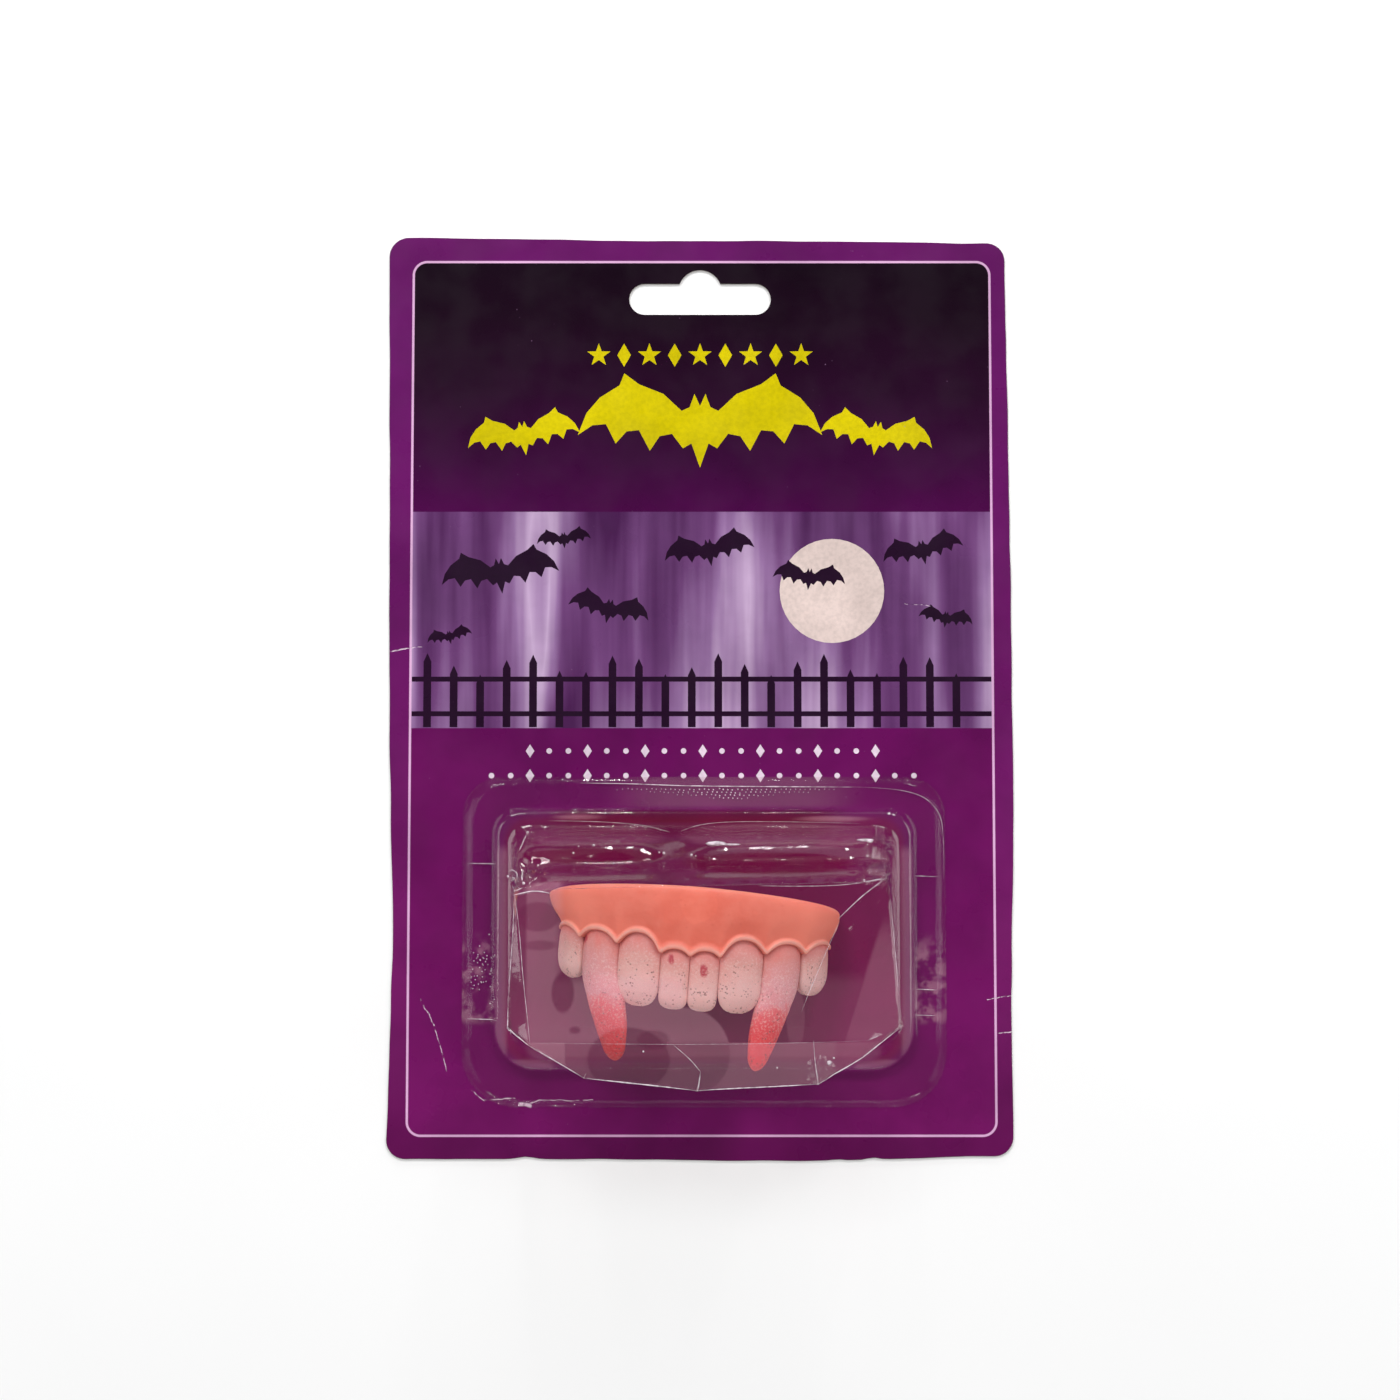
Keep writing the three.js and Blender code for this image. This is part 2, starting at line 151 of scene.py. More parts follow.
def loft_faces(rings, count, closed=True, flip=False):
    """Quads between rings of count points each."""
    across = count if closed else count - 1
    faces = []
    for k in range(rings - 1):
        for i in range(across):
            a, b = k * count + i, k * count + (i + 1) % count
            quad = (a, b, b + count, a + count)
            faces.append(quad[::-1] if flip else quad)
    return faces


def spline(points, samples, closed=False):
    """A centripetal Catmull-Rom curve through points, with samples steps to each stretch."""
    points = np.asarray(points, float)
    count = len(points)
    stretches = count if closed else count - 1
    out = []
    for k in range(stretches):
        if closed:
            a, b, c, d = (points[(k + j) % count] for j in (-1, 0, 1, 2))
        else:
            a, b = points[max(k - 1, 0)], points[k]
            c, d = points[k + 1], points[min(k + 2, count - 1)]
        gaps = [max(np.linalg.norm(q - p) ** 0.5, 1e-4) for p, q in ((a, b), (b, c), (c, d))]
        slope_b = (c - b) / gaps[1] - (c - a) / (gaps[0] + gaps[1]) + (b - a) / gaps[0]
        slope_c = (d - c) / gaps[2] - (d - b) / (gaps[1] + gaps[2]) + (c - b) / gaps[1]
        slope_b, slope_c = slope_b * gaps[1], slope_c * gaps[1]
        for t in np.arange(samples) / samples:
            h = 2 * t**3 - 3 * t**2
            out.append(
                (h + 1) * b + (t**3 - 2 * t**2 + t) * slope_b - h * c + (t**3 - t**2) * slope_c
            )
    if not closed:
        out.append(points[-1])
    return np.array(out)


def column(table, key, at, by):
    """A smooth value between the rows of a table at a place in its column named by."""
    places = np.array([row[by] for row in table], float)
    values = np.array([row[key] for row in table], float)
    slopes = np.gradient(values, places)
    k = int(np.clip(np.searchsorted(places, at) - 1, 0, len(places) - 2))
    width = places[k + 1] - places[k]
    t = np.clip((at - places[k]) / width, 0, 1)
    h = 2 * t**3 - 3 * t**2
    ends = (h + 1) * values[k] - h * values[k + 1]
    return ends + width * ((t**3 - 2 * t**2 + t) * slopes[k] + (t**3 - t**2) * slopes[k + 1])


class Graph:
    """A material's node tree, made by short calls that each return an output socket."""

    def __init__(self, name):
        self.material = bpy.data.materials.new(name)
        self.material.use_nodes = True
        self.nodes = self.material.node_tree.nodes
        self.links = self.material.node_tree.links
        self.nodes.clear()
        self.output = self.nodes.new("ShaderNodeOutputMaterial")
        place = self.nodes.new("ShaderNodeTexCoord").outputs["Object"]
        self.mm = self.scaled(place, 1 / MM)

    def put(self, socket, value):
        if isinstance(value, bpy.types.NodeSocket):
            self.links.new(value, socket)
        elif value is not None:
            socket.default_value = value

    def scaled(self, vector, factor):
        node = self.nodes.new("ShaderNodeVectorMath")
        node.operation = "SCALE"
        self.put(node.inputs[0], vector)
        self.put(node.inputs["Scale"], factor)
        return node.outputs["Vector"]

    def math(self, operation, *values):
        node = self.nodes.new("ShaderNodeMath")
        node.operation = operation
        for socket, value in zip(node.inputs, values):
            self.put(socket, value)
        return node.outputs["Value"]

    def times(self, *values):
        return functools.reduce(functools.partial(self.math, "MULTIPLY"), values)

    def plus(self, *values):
        return functools.reduce(functools.partial(self.math, "ADD"), values)

    def minus(self, first, second):
        return self.math("SUBTRACT", first, second)

    def most(self, *values):
        return functools.reduce(functools.partial(self.math, "MAXIMUM"), values)

    def absolute(self, value):
        return self.math("ABSOLUTE", value)

    def vector(self, operation, *values):
        node = self.nodes.new("ShaderNodeVectorMath")
        node.operation = operation
        for socket, value in zip(node.inputs, values):
            self.put(socket, value)
        scalar = operation in ("LENGTH", "DISTANCE", "DOT_PRODUCT")
        return node.outputs["Value" if scalar else "Vector"]

    def part(self, vector, axis):
        node = self.nodes.new("ShaderNodeSeparateXYZ")
        self.put(node.inputs[0], vector)
        return node.outputs[axis]

    def attribute(self, name):
        node = self.nodes.new("ShaderNodeAttribute")
        node.attribute_name = name
        return node.outputs["Fac"]

    def span(self, value, low, high, to_low=0.0, to_high=1.0):
        """A smooth step of value from to_low at low to to_high at high."""
        node = self.nodes.new("ShaderNodeMapRange")
        node.interpolation_type = "SMOOTHSTEP"
        keys = ("Value", "From Min", "From Max", "To Min", "To Max")
        for key, item in zip(keys, (value, low, high, to_low, to_high)):
            self.put(node.inputs[key], item)
        return node.outputs["Result"]

    def fade(self, value, low, high):
        """A smooth step down from 1 at low to 0 at high."""
        return self.span(value, low, high, 1.0, 0.0)

    def noise(self, size, detail=2.0, roughness=0.5, stretch=(1, 1, 1), offset=0.0):
        """Noise with features of about size millimetres."""
        moved = self.vector("ADD", self.vector("MULTIPLY", self.mm, stretch), (offset, offset, offset))
        node = self.nodes.new("ShaderNodeTexNoise")
        self.put(node.inputs["Vector"], moved)
        self.put(node.inputs["Scale"], 1 / size)
        self.put(node.inputs["Detail"], detail)
        self.put(node.inputs["Roughness"], roughness)
        return node.outputs["Fac"]

    def cells(self, size, stretch=(1, 1, 1)):
        """The distance to the nearest of scattered points about size millimetres apart."""
        node = self.nodes.new("ShaderNodeTexVoronoi")
        self.put(node.inputs["Vector"], self.vector("MULTIPLY", self.mm, stretch))
        self.put(node.inputs["Scale"], 1 / size)
        return node.outputs["Distance"]

    def ramp(self, factor, stops):
        node = self.nodes.new("ShaderNodeValToRGB")
        elements = node.color_ramp.elements
        while len(elements) < len(stops):
            elements.new(0.5)
        for element, (place, color) in zip(elements, stops):
            element.position = place
            element.color = color
        self.put(node.inputs["Fac"], factor)
        return node.outputs["Color"]

    def mix(self, factor, first, second, blend="MIX"):
        node = self.nodes.new("ShaderNodeMix")
        node.data_type = "RGBA"
        node.blend_type = blend
        self.put(node.inputs["Factor"], factor)
        self.put(node.inputs[6], first)
        self.put(node.inputs[7], second)
        return node.outputs[2]

    def bump(self, height, depth, normal=None):
        """depth is in millimetres for a height from 0 to 1."""
        node = self.nodes.new("ShaderNodeBump")
        node.inputs["Distance"].default_value = depth * MM
        self.put(node.inputs["Height"], height)
        self.put(node.inputs["Normal"], normal)
        return node.outputs["Normal"]

    def principled(self, **values):
        node = self.nodes.new("ShaderNodeBsdfPrincipled")
        for key, value in values.items():
            self.put(node.inputs[key.replace("_", " ")], value)
        return node.outputs["BSDF"]

    def shader(self, kind, **values):
        node = self.nodes.new(kind)
        for key, value in values.items():
            self.put(node.inputs[key.replace("_", " ")], value)
        return node.outputs[0]

    def blend(self, factor, first, second):
        node = self.nodes.new("ShaderNodeMixShader")
        self.put(node.inputs[0], factor)
        self.put(node.inputs[1], first)
        self.put(node.inputs[2], second)
        return node.outputs[0]

    def done(self, surface):
        self.links.new(surface, self.output.inputs["Surface"])
        return self.material


# Card print

PRINT_MIDDLE = (0.35, 1.4, 0)
PRINT_HALF = (63.85, 95.9, 0)
PRINT_CORNER = 3
LINE_WIDTH = 0.5
BAND_LOW, BAND_HIGH = -6.2, 41.5

# Ink down the card inside the line, from its foot: height in millimetres and colour
PANEL_INK = [
    (-95, (110, 20, 92)),
    (-60, (106, 16, 89)),
    (-14, (97, 12, 83)),
    (40, (70, 4, 66)),
    (52, (54, 5, 52)),
    (68, (36, 4, 34)),
    (84, (24, 2, 22)),
    (97, (18, 1, 17)),
]
MARGIN_INK = [
    (-100, (92, 14, 76)),
    (-60, (110, 24, 94)),
    (10, (97, 18, 90)),
    (80, (98, 19, 95)),
    (100, (94, 18, 90)),
]
# Painted shadow that the blister casts on the card below it: its middle and reach
BLISTER_SHADOW_AT, BLISTER_SHADOW_REACH = (-9, -93, 0), (20, 14, 1)
# Painted light: the print is tinted redder under the raised film, for the light that comes through it: its
# middle and half its size
FILM_MIDDLE, FILM_HALF = (0.9, -52.2, 0), (44, 27, 0)
# White cracks and rubs in the print: two ends and half width in millimetres
CRACKS = [
    ((-68.6, 10.7), (-64.5, 11.3), 0.13),
    ((-64.5, 11.3), (-61.0, 11.7), 0.08),
    ((62.4, -65.2), (68.6, -64.1), 0.09),
    ((65.0, -72.4), (68.6, -72.0), 0.1),
    ((-60.6, -65.0), (-57.3, -72.0), 0.12),
    ((-57.3, -72.0), (-55.0, -80.6), 0.1),
    ((-49.4, -84.8), (-46.8, -87.0), 0.1),
    ((-46.8, -86.8), (-40.0, -86.4), 0.1),
    ((-36.6, -87.4), (-34.8, -86.8), 0.12),
    ((-34.8, -86.8), (-23.4, -86.9), 0.09),
    ((-38.8, -87.6), (-36.8, -88.0), 0.42),
    ((45.0, 21.2), (50.6, 20.6), 0.07),
    ((-41.0, -100.0), (-35.0, -99.8), 0.22),
    ((35.8, -100.1), (38.6, -99.7), 0.45),
    ((28.6, -100.1), (30.4, -100.0), 0.25),
]


def by_height(graph, stops):
    """Ink that changes with height on the card."""
    low, high = stops[0][0], stops[-1][0]
    y = graph.part(graph.mm, "Y")
    share = graph.span(y, low, high)
    share.node.interpolation_type = "LINEAR"
    return graph.ramp(share, [((place - low) / (high - low), linear(*ink)) for place, ink in stops])


def rounded_box(graph, point, half, corner):
    """The distance outside a rounded rectangle about the origin, negative inside it."""
    reach = (half[0] - corner, half[1] - corner, 0)
    past = graph.vector("SUBTRACT", graph.vector("ABSOLUTE", point), reach)
    outside = graph.vector("LENGTH", graph.vector("MAXIMUM", past, (0, 0, 0)))
    inside = graph.math("MINIMUM", graph.most(graph.part(past, "X"), graph.part(past, "Y")), 0)
    return graph.minus(graph.plus(outside, inside), corner)


def crack_mask(graph, point, ends, half_width):
    """1 along a ragged crack between two ends."""
    start, end = (Vector((*end, 0)) for end in ends)
    along = end - start
    rel = graph.vector("SUBTRACT", point, tuple(start))
    share = graph.math("DIVIDE", graph.vector("DOT_PRODUCT", rel, tuple(along)), along.length_squared)
    share = graph.math("MINIMUM", graph.most(share, 0.0), 1.0)
    node = graph.nodes.new("ShaderNodeVectorMath")
    node.operation = "SCALE"
    node.inputs[0].default_value = tuple(along)
    graph.put(node.inputs["Scale"], share)
    off = graph.vector("LENGTH", graph.vector("SUBTRACT", rel, node.outputs["Vector"]))
    return graph.fade(off, half_width * 0.4, half_width * 1.5)


def card_surface(graph, ink):
    """Varnished print: ink with cracks, rubs and dust, a painted shadow below the blister, a painted tint
    under the film, and a slightly wavy gloss.
    """
    flat = graph.vector("MULTIPLY", graph.mm, (1, 1, 0))
    wobble = graph.noise(2.2, 3)
    ragged = graph.vector("ADD", flat, graph.scaled(graph.vector("ADD", (0, 0, 0), wobble), 0.9))
    ragged = graph.vector("SUBTRACT", ragged, (0.45, 0.45, 0))
    ragged = graph.vector("MULTIPLY", ragged, (1, 1, 0))
    worn = None
    for start, end, half_width in CRACKS:
        mask = crack_mask(graph, ragged, (start, end), half_width)
        worn = mask if worn is None else graph.most(worn, mask)
    broken = graph.times(worn, graph.span(graph.noise(1.1, 3, offset=7), 0.36, 0.56))
    dust = graph.fade(graph.cells(2.6), 0.03, 0.075)
    dust = graph.times(dust, graph.span(graph.noise(14, 2, offset=3), 0.56, 0.7, 0.0, 0.5))
    # Random mottle of the print, darkened by the painted shadow of the blister below it
    mottle_and_shadow = graph.span(graph.noise(26, 4, 0.6), 0.3, 0.7, 0.86, 1.12)
    off_blister_shadow = graph.vector("DIVIDE", graph.vector("SUBTRACT", flat, BLISTER_SHADOW_AT), BLISTER_SHADOW_REACH)
    off_blister_shadow = graph.vector("LENGTH", off_blister_shadow)
    mottle_and_shadow = graph.times(mottle_and_shadow, graph.span(off_blister_shadow, 0.6, 1.05, 0.84, 1.0))
    tone = graph.ramp(graph.times(mottle_and_shadow, 0.8), [(0, (0, 0, 0, 1)), (1, (1.25, 1.25, 1.25, 1))])
    ink = graph.mix(1.0, ink, tone, "MULTIPLY")
    # Painted tint of the light through the film, on the print beneath it
    under_film = rounded_box(graph, graph.vector("SUBTRACT", flat, FILM_MIDDLE), FILM_HALF, 6)
    under_film = graph.fade(under_film, -1.5, 0.5)
    ink = graph.mix(under_film, ink, graph.mix(1.0, ink, (1.14, 0.85, 0.72, 1), "MULTIPLY"))
    ink = graph.mix(dust, ink, linear(150, 110, 150))
    ink = graph.mix(broken, ink, linear(214, 190, 208))
    waves = graph.bump(graph.noise(30, 2), 0.5)
    board = graph.bump(graph.noise(0.5, 2), 0.006, waves)
    board = graph.bump(worn, -0.05, board)
    roughness = graph.span(graph.noise(9, 3, offset=5), 0.3, 0.7, 0.26, 0.4)
    surface = graph.principled(Base_Color=ink, Roughness=roughness, Normal=board, Specular_IOR_Level=0.12)
    return graph.done(surface)


def print_material():
    """The card's ground: aubergine panel in a pale line, purple margin and a band of satin folds."""
    graph = Graph("card_print")
    point = graph.vector("MULTIPLY", graph.vector("SUBTRACT", graph.mm, PRINT_MIDDLE), (1, 1, 0))
    edge = rounded_box(graph, point, PRINT_HALF, PRINT_CORNER)
    y = graph.part(graph.mm, "Y")
    inside = graph.fade(edge, -0.05, 0.05)
    ink = graph.mix(inside, by_height(graph, MARGIN_INK), by_height(graph, PANEL_INK))
    folds = graph.noise(11, 1, 0.4, stretch=(1, 0.12, 0), offset=31)
    fine = graph.noise(3.4, 2, 0.5, stretch=(1, 0.06, 0), offset=12)
    satin_light = graph.plus(graph.times(folds, 0.8), graph.times(fine, 0.2))
    satin = graph.ramp(satin_light, [
        (0.34, linear(70, 28, 76)),
        (0.45, linear(104, 62, 112)),
        (0.54, linear(140, 104, 150)),
        (0.64, linear(188, 160, 194)),
        (0.74, linear(150, 116, 160)),
    ])
    above = graph.span(y, BAND_LOW - 0.05, BAND_LOW + 0.05)
    below = graph.fade(y, BAND_HIGH - 0.05, BAND_HIGH + 0.05)
    band = graph.times(above, below, inside)
    ink = graph.mix(band, ink, satin)
    off_line = graph.absolute(edge)
    line = graph.fade(off_line, LINE_WIDTH / 2 - 0.06, LINE_WIDTH / 2 + 0.06)
    ink = graph.mix(line, ink, linear(212, 166, 205))
    return card_surface(graph, ink)


def flat_ink(name, color):
    graph = Graph(name)
    thin = graph.span(graph.noise(0.9, 3), 0.3, 0.75, 0.0, 0.25)
    darker = linear(*[c * 0.7 for c in color])
    return card_surface(graph, graph.mix(thin, linear(*color), darker))


def board_material():
    """Unprinted pulp board, for the card's back and cut edges."""
    graph = Graph("board")
    fibre = graph.noise(1.4, 4, 0.6, stretch=(1, 0.35, 1))
    tone = graph.ramp(fibre, [(0.3, linear(158, 150, 146)), (0.7, linear(196, 190, 184))])
    return graph.done(graph.principled(Base_Color=tone, Roughness=0.85, Normal=graph.bump(fibre, 0.03)))


# Card shape

def arc(centre, radius, start, end, steps):
    angles = np.linspace(start, end, steps + 1)
    return [(centre[0] + radius * math.cos(a), centre[1] + radius * math.sin(a)) for a in angles]


def rounded_rectangle(half_x, half_y, radius, steps=10):
    quarter = math.pi / 2
    x, y = half_x - radius, half_y - radius
    corners = [(x, y), (-x, y), (-x, -y), (x, -y)]
    return [p for n, c in enumerate(corners) for p in arc(c, radius, n * quarter, (n + 1) * quarter, steps)]


def worn_outline():
    """The card's outline, a little wavy, with two small dents in its lower edge."""
    plain = rounded_rectangle(CARD_WIDTH / 2, CARD_HEIGHT / 2, CARD_CORNER)
    out = []
    for start, end in zip(plain, plain[1:] + plain[:1]):
        start, end = np.array(start), np.array(end)
        steps = max(1, round(np.linalg.norm(end - start) / EDGE_STEP))
        for t in np.arange(steps) / steps:
            x, y = start + (end - start) * t
            across, along = x / CARD_WIDTH + 0.5, y / CARD_HEIGHT + 0.5
            wave = EDGE_WAVE * noise.noise(Vector((x / EDGE_WAVE_LENGTH, y / EDGE_WAVE_LENGTH, 6.0)))
            sides = [column(CARD_SIDES, side, y, "y") for side in ("left", "right")]
            ends = [column(CARD_ENDS, end, x, "x") for end in ("low", "high")]
            ends[0] += sum(depth * math.exp(-(((x - at) / half) ** 2)) for at, half, depth in EDGE_DENTS)
            worn_x = sides[0] + (sides[1] - sides[0]) * across
            worn_y = ends[0] + (ends[1] - ends[0]) * along
            out.append((worn_x + wave, worn_y + wave))
    return out


def slot_outline():
    """The hanging slot, anticlockwise: round ends and a dome in its upper edge."""
    end = SLOT_HEIGHT / 2
    top = CARD_HEIGHT / 2 - SLOT_EDGE
    reach = SLOT_WIDTH / 2 - end
    dome = (DOME_RISE**2 + (DOME_WIDTH / 2) ** 2) / (2 * DOME_RISE)
    rise = top + DOME_RISE - dome
    start = math.atan2(top - rise, DOME_WIDTH / 2)
    quarter = math.pi / 2
    right = arc((reach, top - end), end, -quarter, quarter, 14)
    middle = arc((0, rise), dome, start, math.pi - start, 14)
    left = arc((-reach, top - end), end, quarter, 3 * quarter, 14)
    return right + middle + left


def inset(outline, distance):
    """The outline moved inwards, for an anticlockwise outline."""
    points = np.array(outline)
    along = np.roll(points, -1, 0) - np.roll(points, 1, 0)
    normal = np.stack([-along[:, 1], along[:, 0]], 1)
    return points + distance * normal / np.linalg.norm(normal, axis=1)[:, None]


# Half of a flying bat, from the head down to the tail, for a wing reach of 1
BAT_HALF = [
    (0, 0.15), (0.045, 0.25), (0.085, 0.14), (0.15, 0.11), (0.3, 0.25), (0.5, 0.33), (0.62, 0.42),
    (0.66, 0.32), (0.82, 0.22), (0.93, 0.09), (1, -0.09), (0.88, -0.01), (0.77, 0), (0.69, -0.16),
    (0.6, -0.06), (0.5, -0.05), (0.41, -0.22), (0.33, -0.1), (0.23, -0.08), (0.14, -0.2),
    (0.07, -0.16), (0, -0.36),
]


def bat(x, y, reach, turn=0.0):
    half = BAT_HALF
    outline = [(-a, b) for a, b in half] + [(a, b) for a, b in half[-2:0:-1]]
    c, s = math.cos(turn), math.sin(turn)
    return [(x + reach * (a * c - b * s), y + reach * (a * s + b * c)) for a, b in outline]


def disc(x, y, radius, steps=40):
    return arc((x, y), radius, 0, 2 * math.pi * (1 - 1 / steps), steps - 1)


def lozenge(x, y, half_x, half_y):
    return [(x + half_x, y), (x, y + half_y), (x - half_x, y), (x, y - half_y)]


def star(x, y, radius, points=5):
    out = []
    for k in range(2 * points):
        reach = radius if k % 2 == 0 else 0.4 * radius
        angle = math.pi / 2 + k * math.pi / points
        out.append((x + reach * math.cos(angle), y + reach * math.sin(angle)))
    return out


def picket(x, y, half, height):
    top = y + height
    return [(x - half, y), (x + half, y), (x + half, top), (x, top + 2.2 * half), (x - half, top)]


def bar(x0, x1, y0, y1):
    return [(x0, y0), (x1, y0), (x1, y1), (x0, y1)]


# Bats in the band and above it: middle, wing reach and turn
SMALL_BATS = [
    (-44, 28, 13, 0.12),
    (-20, 20, 9, -0.2),
    (-30, 35.5, 6, 0.1),
    (2, 33, 10, 0.15),
    (24, 27, 8, -0.1),
    (49, 33, 9, 0.2),
    (54, 18, 6, -0.15),
    (-55, 14, 5, 0.2),
]
UPPER_BATS = [(0, 61, 27), (-39, 58.5, 12.5, 0.14), (39, 58.5, 12.5, -0.14)]
FENCE_PICKETS, FENCE_SPACING = 21, 5.8
# Rows of dots and lozenges: height and half length
DOT_ROWS = [(-11.2, 39), (-16.6, 50)]
DOT_SPACING = 4.2


def motifs():
    """The print's own generic figures, as (ink number, outline), later ones on top."""
    night, moon, yellow, white = 1, 2, 3, 4
    figures = [(moon, disc(29, 24, 11.5))]
    left, right = PRINT_MIDDLE[0] - PRINT_HALF[0] + 0.3, PRINT_MIDDLE[0] + PRINT_HALF[0] - 0.3
    for k in range(FENCE_PICKETS):
        x = left + 3.4 + k * FENCE_SPACING
        figures.append((night, picket(x, BAND_LOW + 0.2, 0.85, 12 + 2.4 * math.cos(1.7 * k))))
    for y in (BAND_LOW + 2.6, BAND_LOW + 10.2):
        figures.append((night, bar(left, right, y, y + 1.1)))
    figures += [(night, bat(*place)) for place in SMALL_BATS]
    figures += [(yellow, bat(*place)) for place in UPPER_BATS]
    for k in range(9):
        x = 5.6 * (k - 4)
        figures.append((yellow, lozenge(x, 76.4, 1.5, 2.6) if k % 2 else star(x, 76.4, 2.7)))
    for row, (y, half) in enumerate(DOT_ROWS):
        count = 2 * int(half / DOT_SPACING) + 1
        for k in range(count):
            x = (k - (count - 1) / 2) * DOT_SPACING + 0.6
            small = disc(x, y, 0.62, 12)
            figures.append((white, lozenge(x, y, 0.95, 1.45) if (k + row) % 3 == 0 else small))
    return figures


def build_card(materials):
    outer = worn_outline()
    hole = slot_outline()
    rim, lip = inset(outer, CARD_EDGE), inset(hole, -CARD_EDGE)
    shapes = [(0, rim.tolist()), (-1, lip.tolist())] + motifs()
    points, faces = [], []
    for _, outline in shapes:
        faces.append(list(range(len(points), len(points) + len(outline))))
        points += [Vector(p) for p in outline]
    flat, _, cells, _, _, owners = delaunay_2d_cdt(points, [], faces, 1, 1e-4)
    solid, slots = [], []
    for cell, own in zip(cells, owners):
        inks = [shapes[n][0] for n in own]
        if own and -1 not in inks:
            solid.append(cell)
            slots.append(inks[-1] if len(inks) == 1 else shapes[max(own)][0])
    count = len(flat)
    top = [(p.x, p.y, CARD_THICK) for p in flat]
    vertices = top + [(p.x, p.y, 0) for p in flat]
    faces = list(solid) + [tuple(i + count for i in reversed(cell)) for cell in solid]
    slots = slots + [5] * len(solid)
    levels = [(CARD_EDGE, CARD_THICK), (0, CARD_THICK - CARD_EDGE), (0, CARD_EDGE), (CARD_EDGE, 0)]
    for outline, sign in ((outer, 1), (hole, -1)):
        start = len(vertices)
        for distance, height in levels:
            vertices += [(x, y, height) for x, y in inset(outline, sign * distance)]
        ring = loft_faces(len(levels), len(outline), flip=sign > 0)
        faces += [tuple(start + i for i in quad) for quad in ring]
        slots += [0 if k < len(outline) else 5 for k in range(len(ring))]
    card = mesh_object("printed_card", vertices, faces, materials, False, slots=slots)
    weld(card, 0.002)
    return card


def weld(shown, distance):
    """Joins points closer than distance millimetres."""
    shape = bmesh.new()
    shape.from_mesh(shown.data)
    bmesh.ops.remove_doubles(shape, verts=shape.verts, dist=distance * MM)
    shape.to_mesh(shown.data)
    shape.free()


# Denture

TEETH = table(
    "name width peak cusp knee square tip",
    ("central", 0.148, -0.01, -0.12, 0.76, 2.8, -12.5),
    ("lateral", 0.228, 0.2, -0.03, 0.5, 2.7, -12.5),
    ("fang", 0.238, 0.165, -0.01, 0.9, 2.2, -24.2),
    ("premolar", 0.272, 0.15, 0.04, 0.5, 2.6, -8.9),
)
MIDDLE_CUSP = -0.13
INCISOR_FORM = table(
    "down half lean middle front back",
    (0, 0.5, 0, 0.5, 0.2, 0.3),
    (0.15, 0.5, 0, 0.54, 0.34, 0.3),
    (0.45, 0.5, 0, 0.54, 0.42, 0.3),
    (0.7, 0.5, 0, 0.5, 0.42, 0.3),
    (0.85, 0.5, 0, 0.42, 0.4, 0.35),
    (0.95, 0.5, 0, 0.32, 0.34, 0.3),
    (1, 0.5, 0, 0.24, 0.26, 0.2),
)
FANG_FORM = table(
    "down half lean middle front back",
    (0, 0.5, 0, 0.36, 0.36, 0.3),
    (0.08, 0.5, 0, 0.38, 0.56, 0.3),
    (0.22, 0.5, 0.02, 0.42, 0.66, 0.3),
    (0.35, 0.5, 0.07, 0.48, 0.74, 0.3),
    (0.46, 0.49, 0.18, 0.52, 0.78, 0.76),
    (0.58, 0.455, 0.27, 0.5, 0.78, 0.8),
    (0.7, 0.405, 0.345, 0.42, 0.74, 0.74),
    (0.81, 0.34, 0.4, 0.36, 0.64, 0.62),
    (0.91, 0.265, 0.445, 0.3, 0.5, 0.48),
    (0.97, 0.215, 0.46, 0.26, 0.38, 0.36),
    (1, 0.19, 0.47, 0.24, 0.3, 0.3),
)

arch_angles = np.linspace(0, math.pi / 2, 721)
arch_steps = np.hypot(
    np.diff(ARCH_HALF_WIDTH * np.sin(arch_angles)), np.diff(ARCH_DEPTH * np.cos(arch_angles))
)
arch_lengths = np.concatenate([[0], np.cumsum(arch_steps)])
ARCH_HALF = arch_lengths[-1]

reached, last_cusp = 0.0, MIDDLE_CUSP
for tooth in TEETH:
    tooth["start"] = reached * ARCH_HALF
    reached += tooth["width"]
    tooth["end"] = reached * ARCH_HALF
    tooth["near_cusp"], last_cusp = last_cusp, tooth["cusp"]


def arch_angle(s):
    return math.copysign(np.interp(abs(s), arch_lengths, arch_angles), s)


def arch_point(s, height, proud):
    """A place s along the arch from its middle, proud in front of the teeth's bed, on the card."""
    angle = arch_angle(s)
    normal = np.array([math.sin(angle) / ARCH_HALF_WIDTH, math.cos(angle) / ARCH_DEPTH])
    normal /= np.linalg.norm(normal)
    x = ARCH_HALF_WIDTH * math.sin(angle) + proud * normal[0]
    z = max(0, ARCH_DEPTH * math.cos(angle) + proud * normal[1])
    x += ARCH_SKEW * (1 - z / ARCH_DEPTH)
    c, n = math.cos(DENTURE_TURN), math.sin(DENTURE_TURN)
    return DENTURE_AT + np.array([x * c - height * n, x * n + height * c, z])


def gum_line(s):
    away = abs(s)
    tooth = next((t for t in TEETH if away <= t["end"]), TEETH[-1])
    across = np.clip((away - tooth["start"]) / (tooth["end"] - tooth["start"]), 0, 1)
    cusps = tooth["near_cusp"] + (tooth["cusp"] - tooth["near_cusp"]) * across
    rounded = 1 - abs(2 * across - 1) ** 2.4
    return GUM_HEIGHT * (cusps + (tooth["peak"] - cusps) * rounded)


def tray_under(s):
    return TRAY_RISE * (s / ARCH_HALF) ** 2 - TRAY_BOTTOM


def soft_gum_line(s, reach=0.35):
    """The gum line with the tips between its scallops rounded over reach millimetres."""
    return np.mean([gum_line(s + d) for d in np.linspace(-reach, reach, 5)])


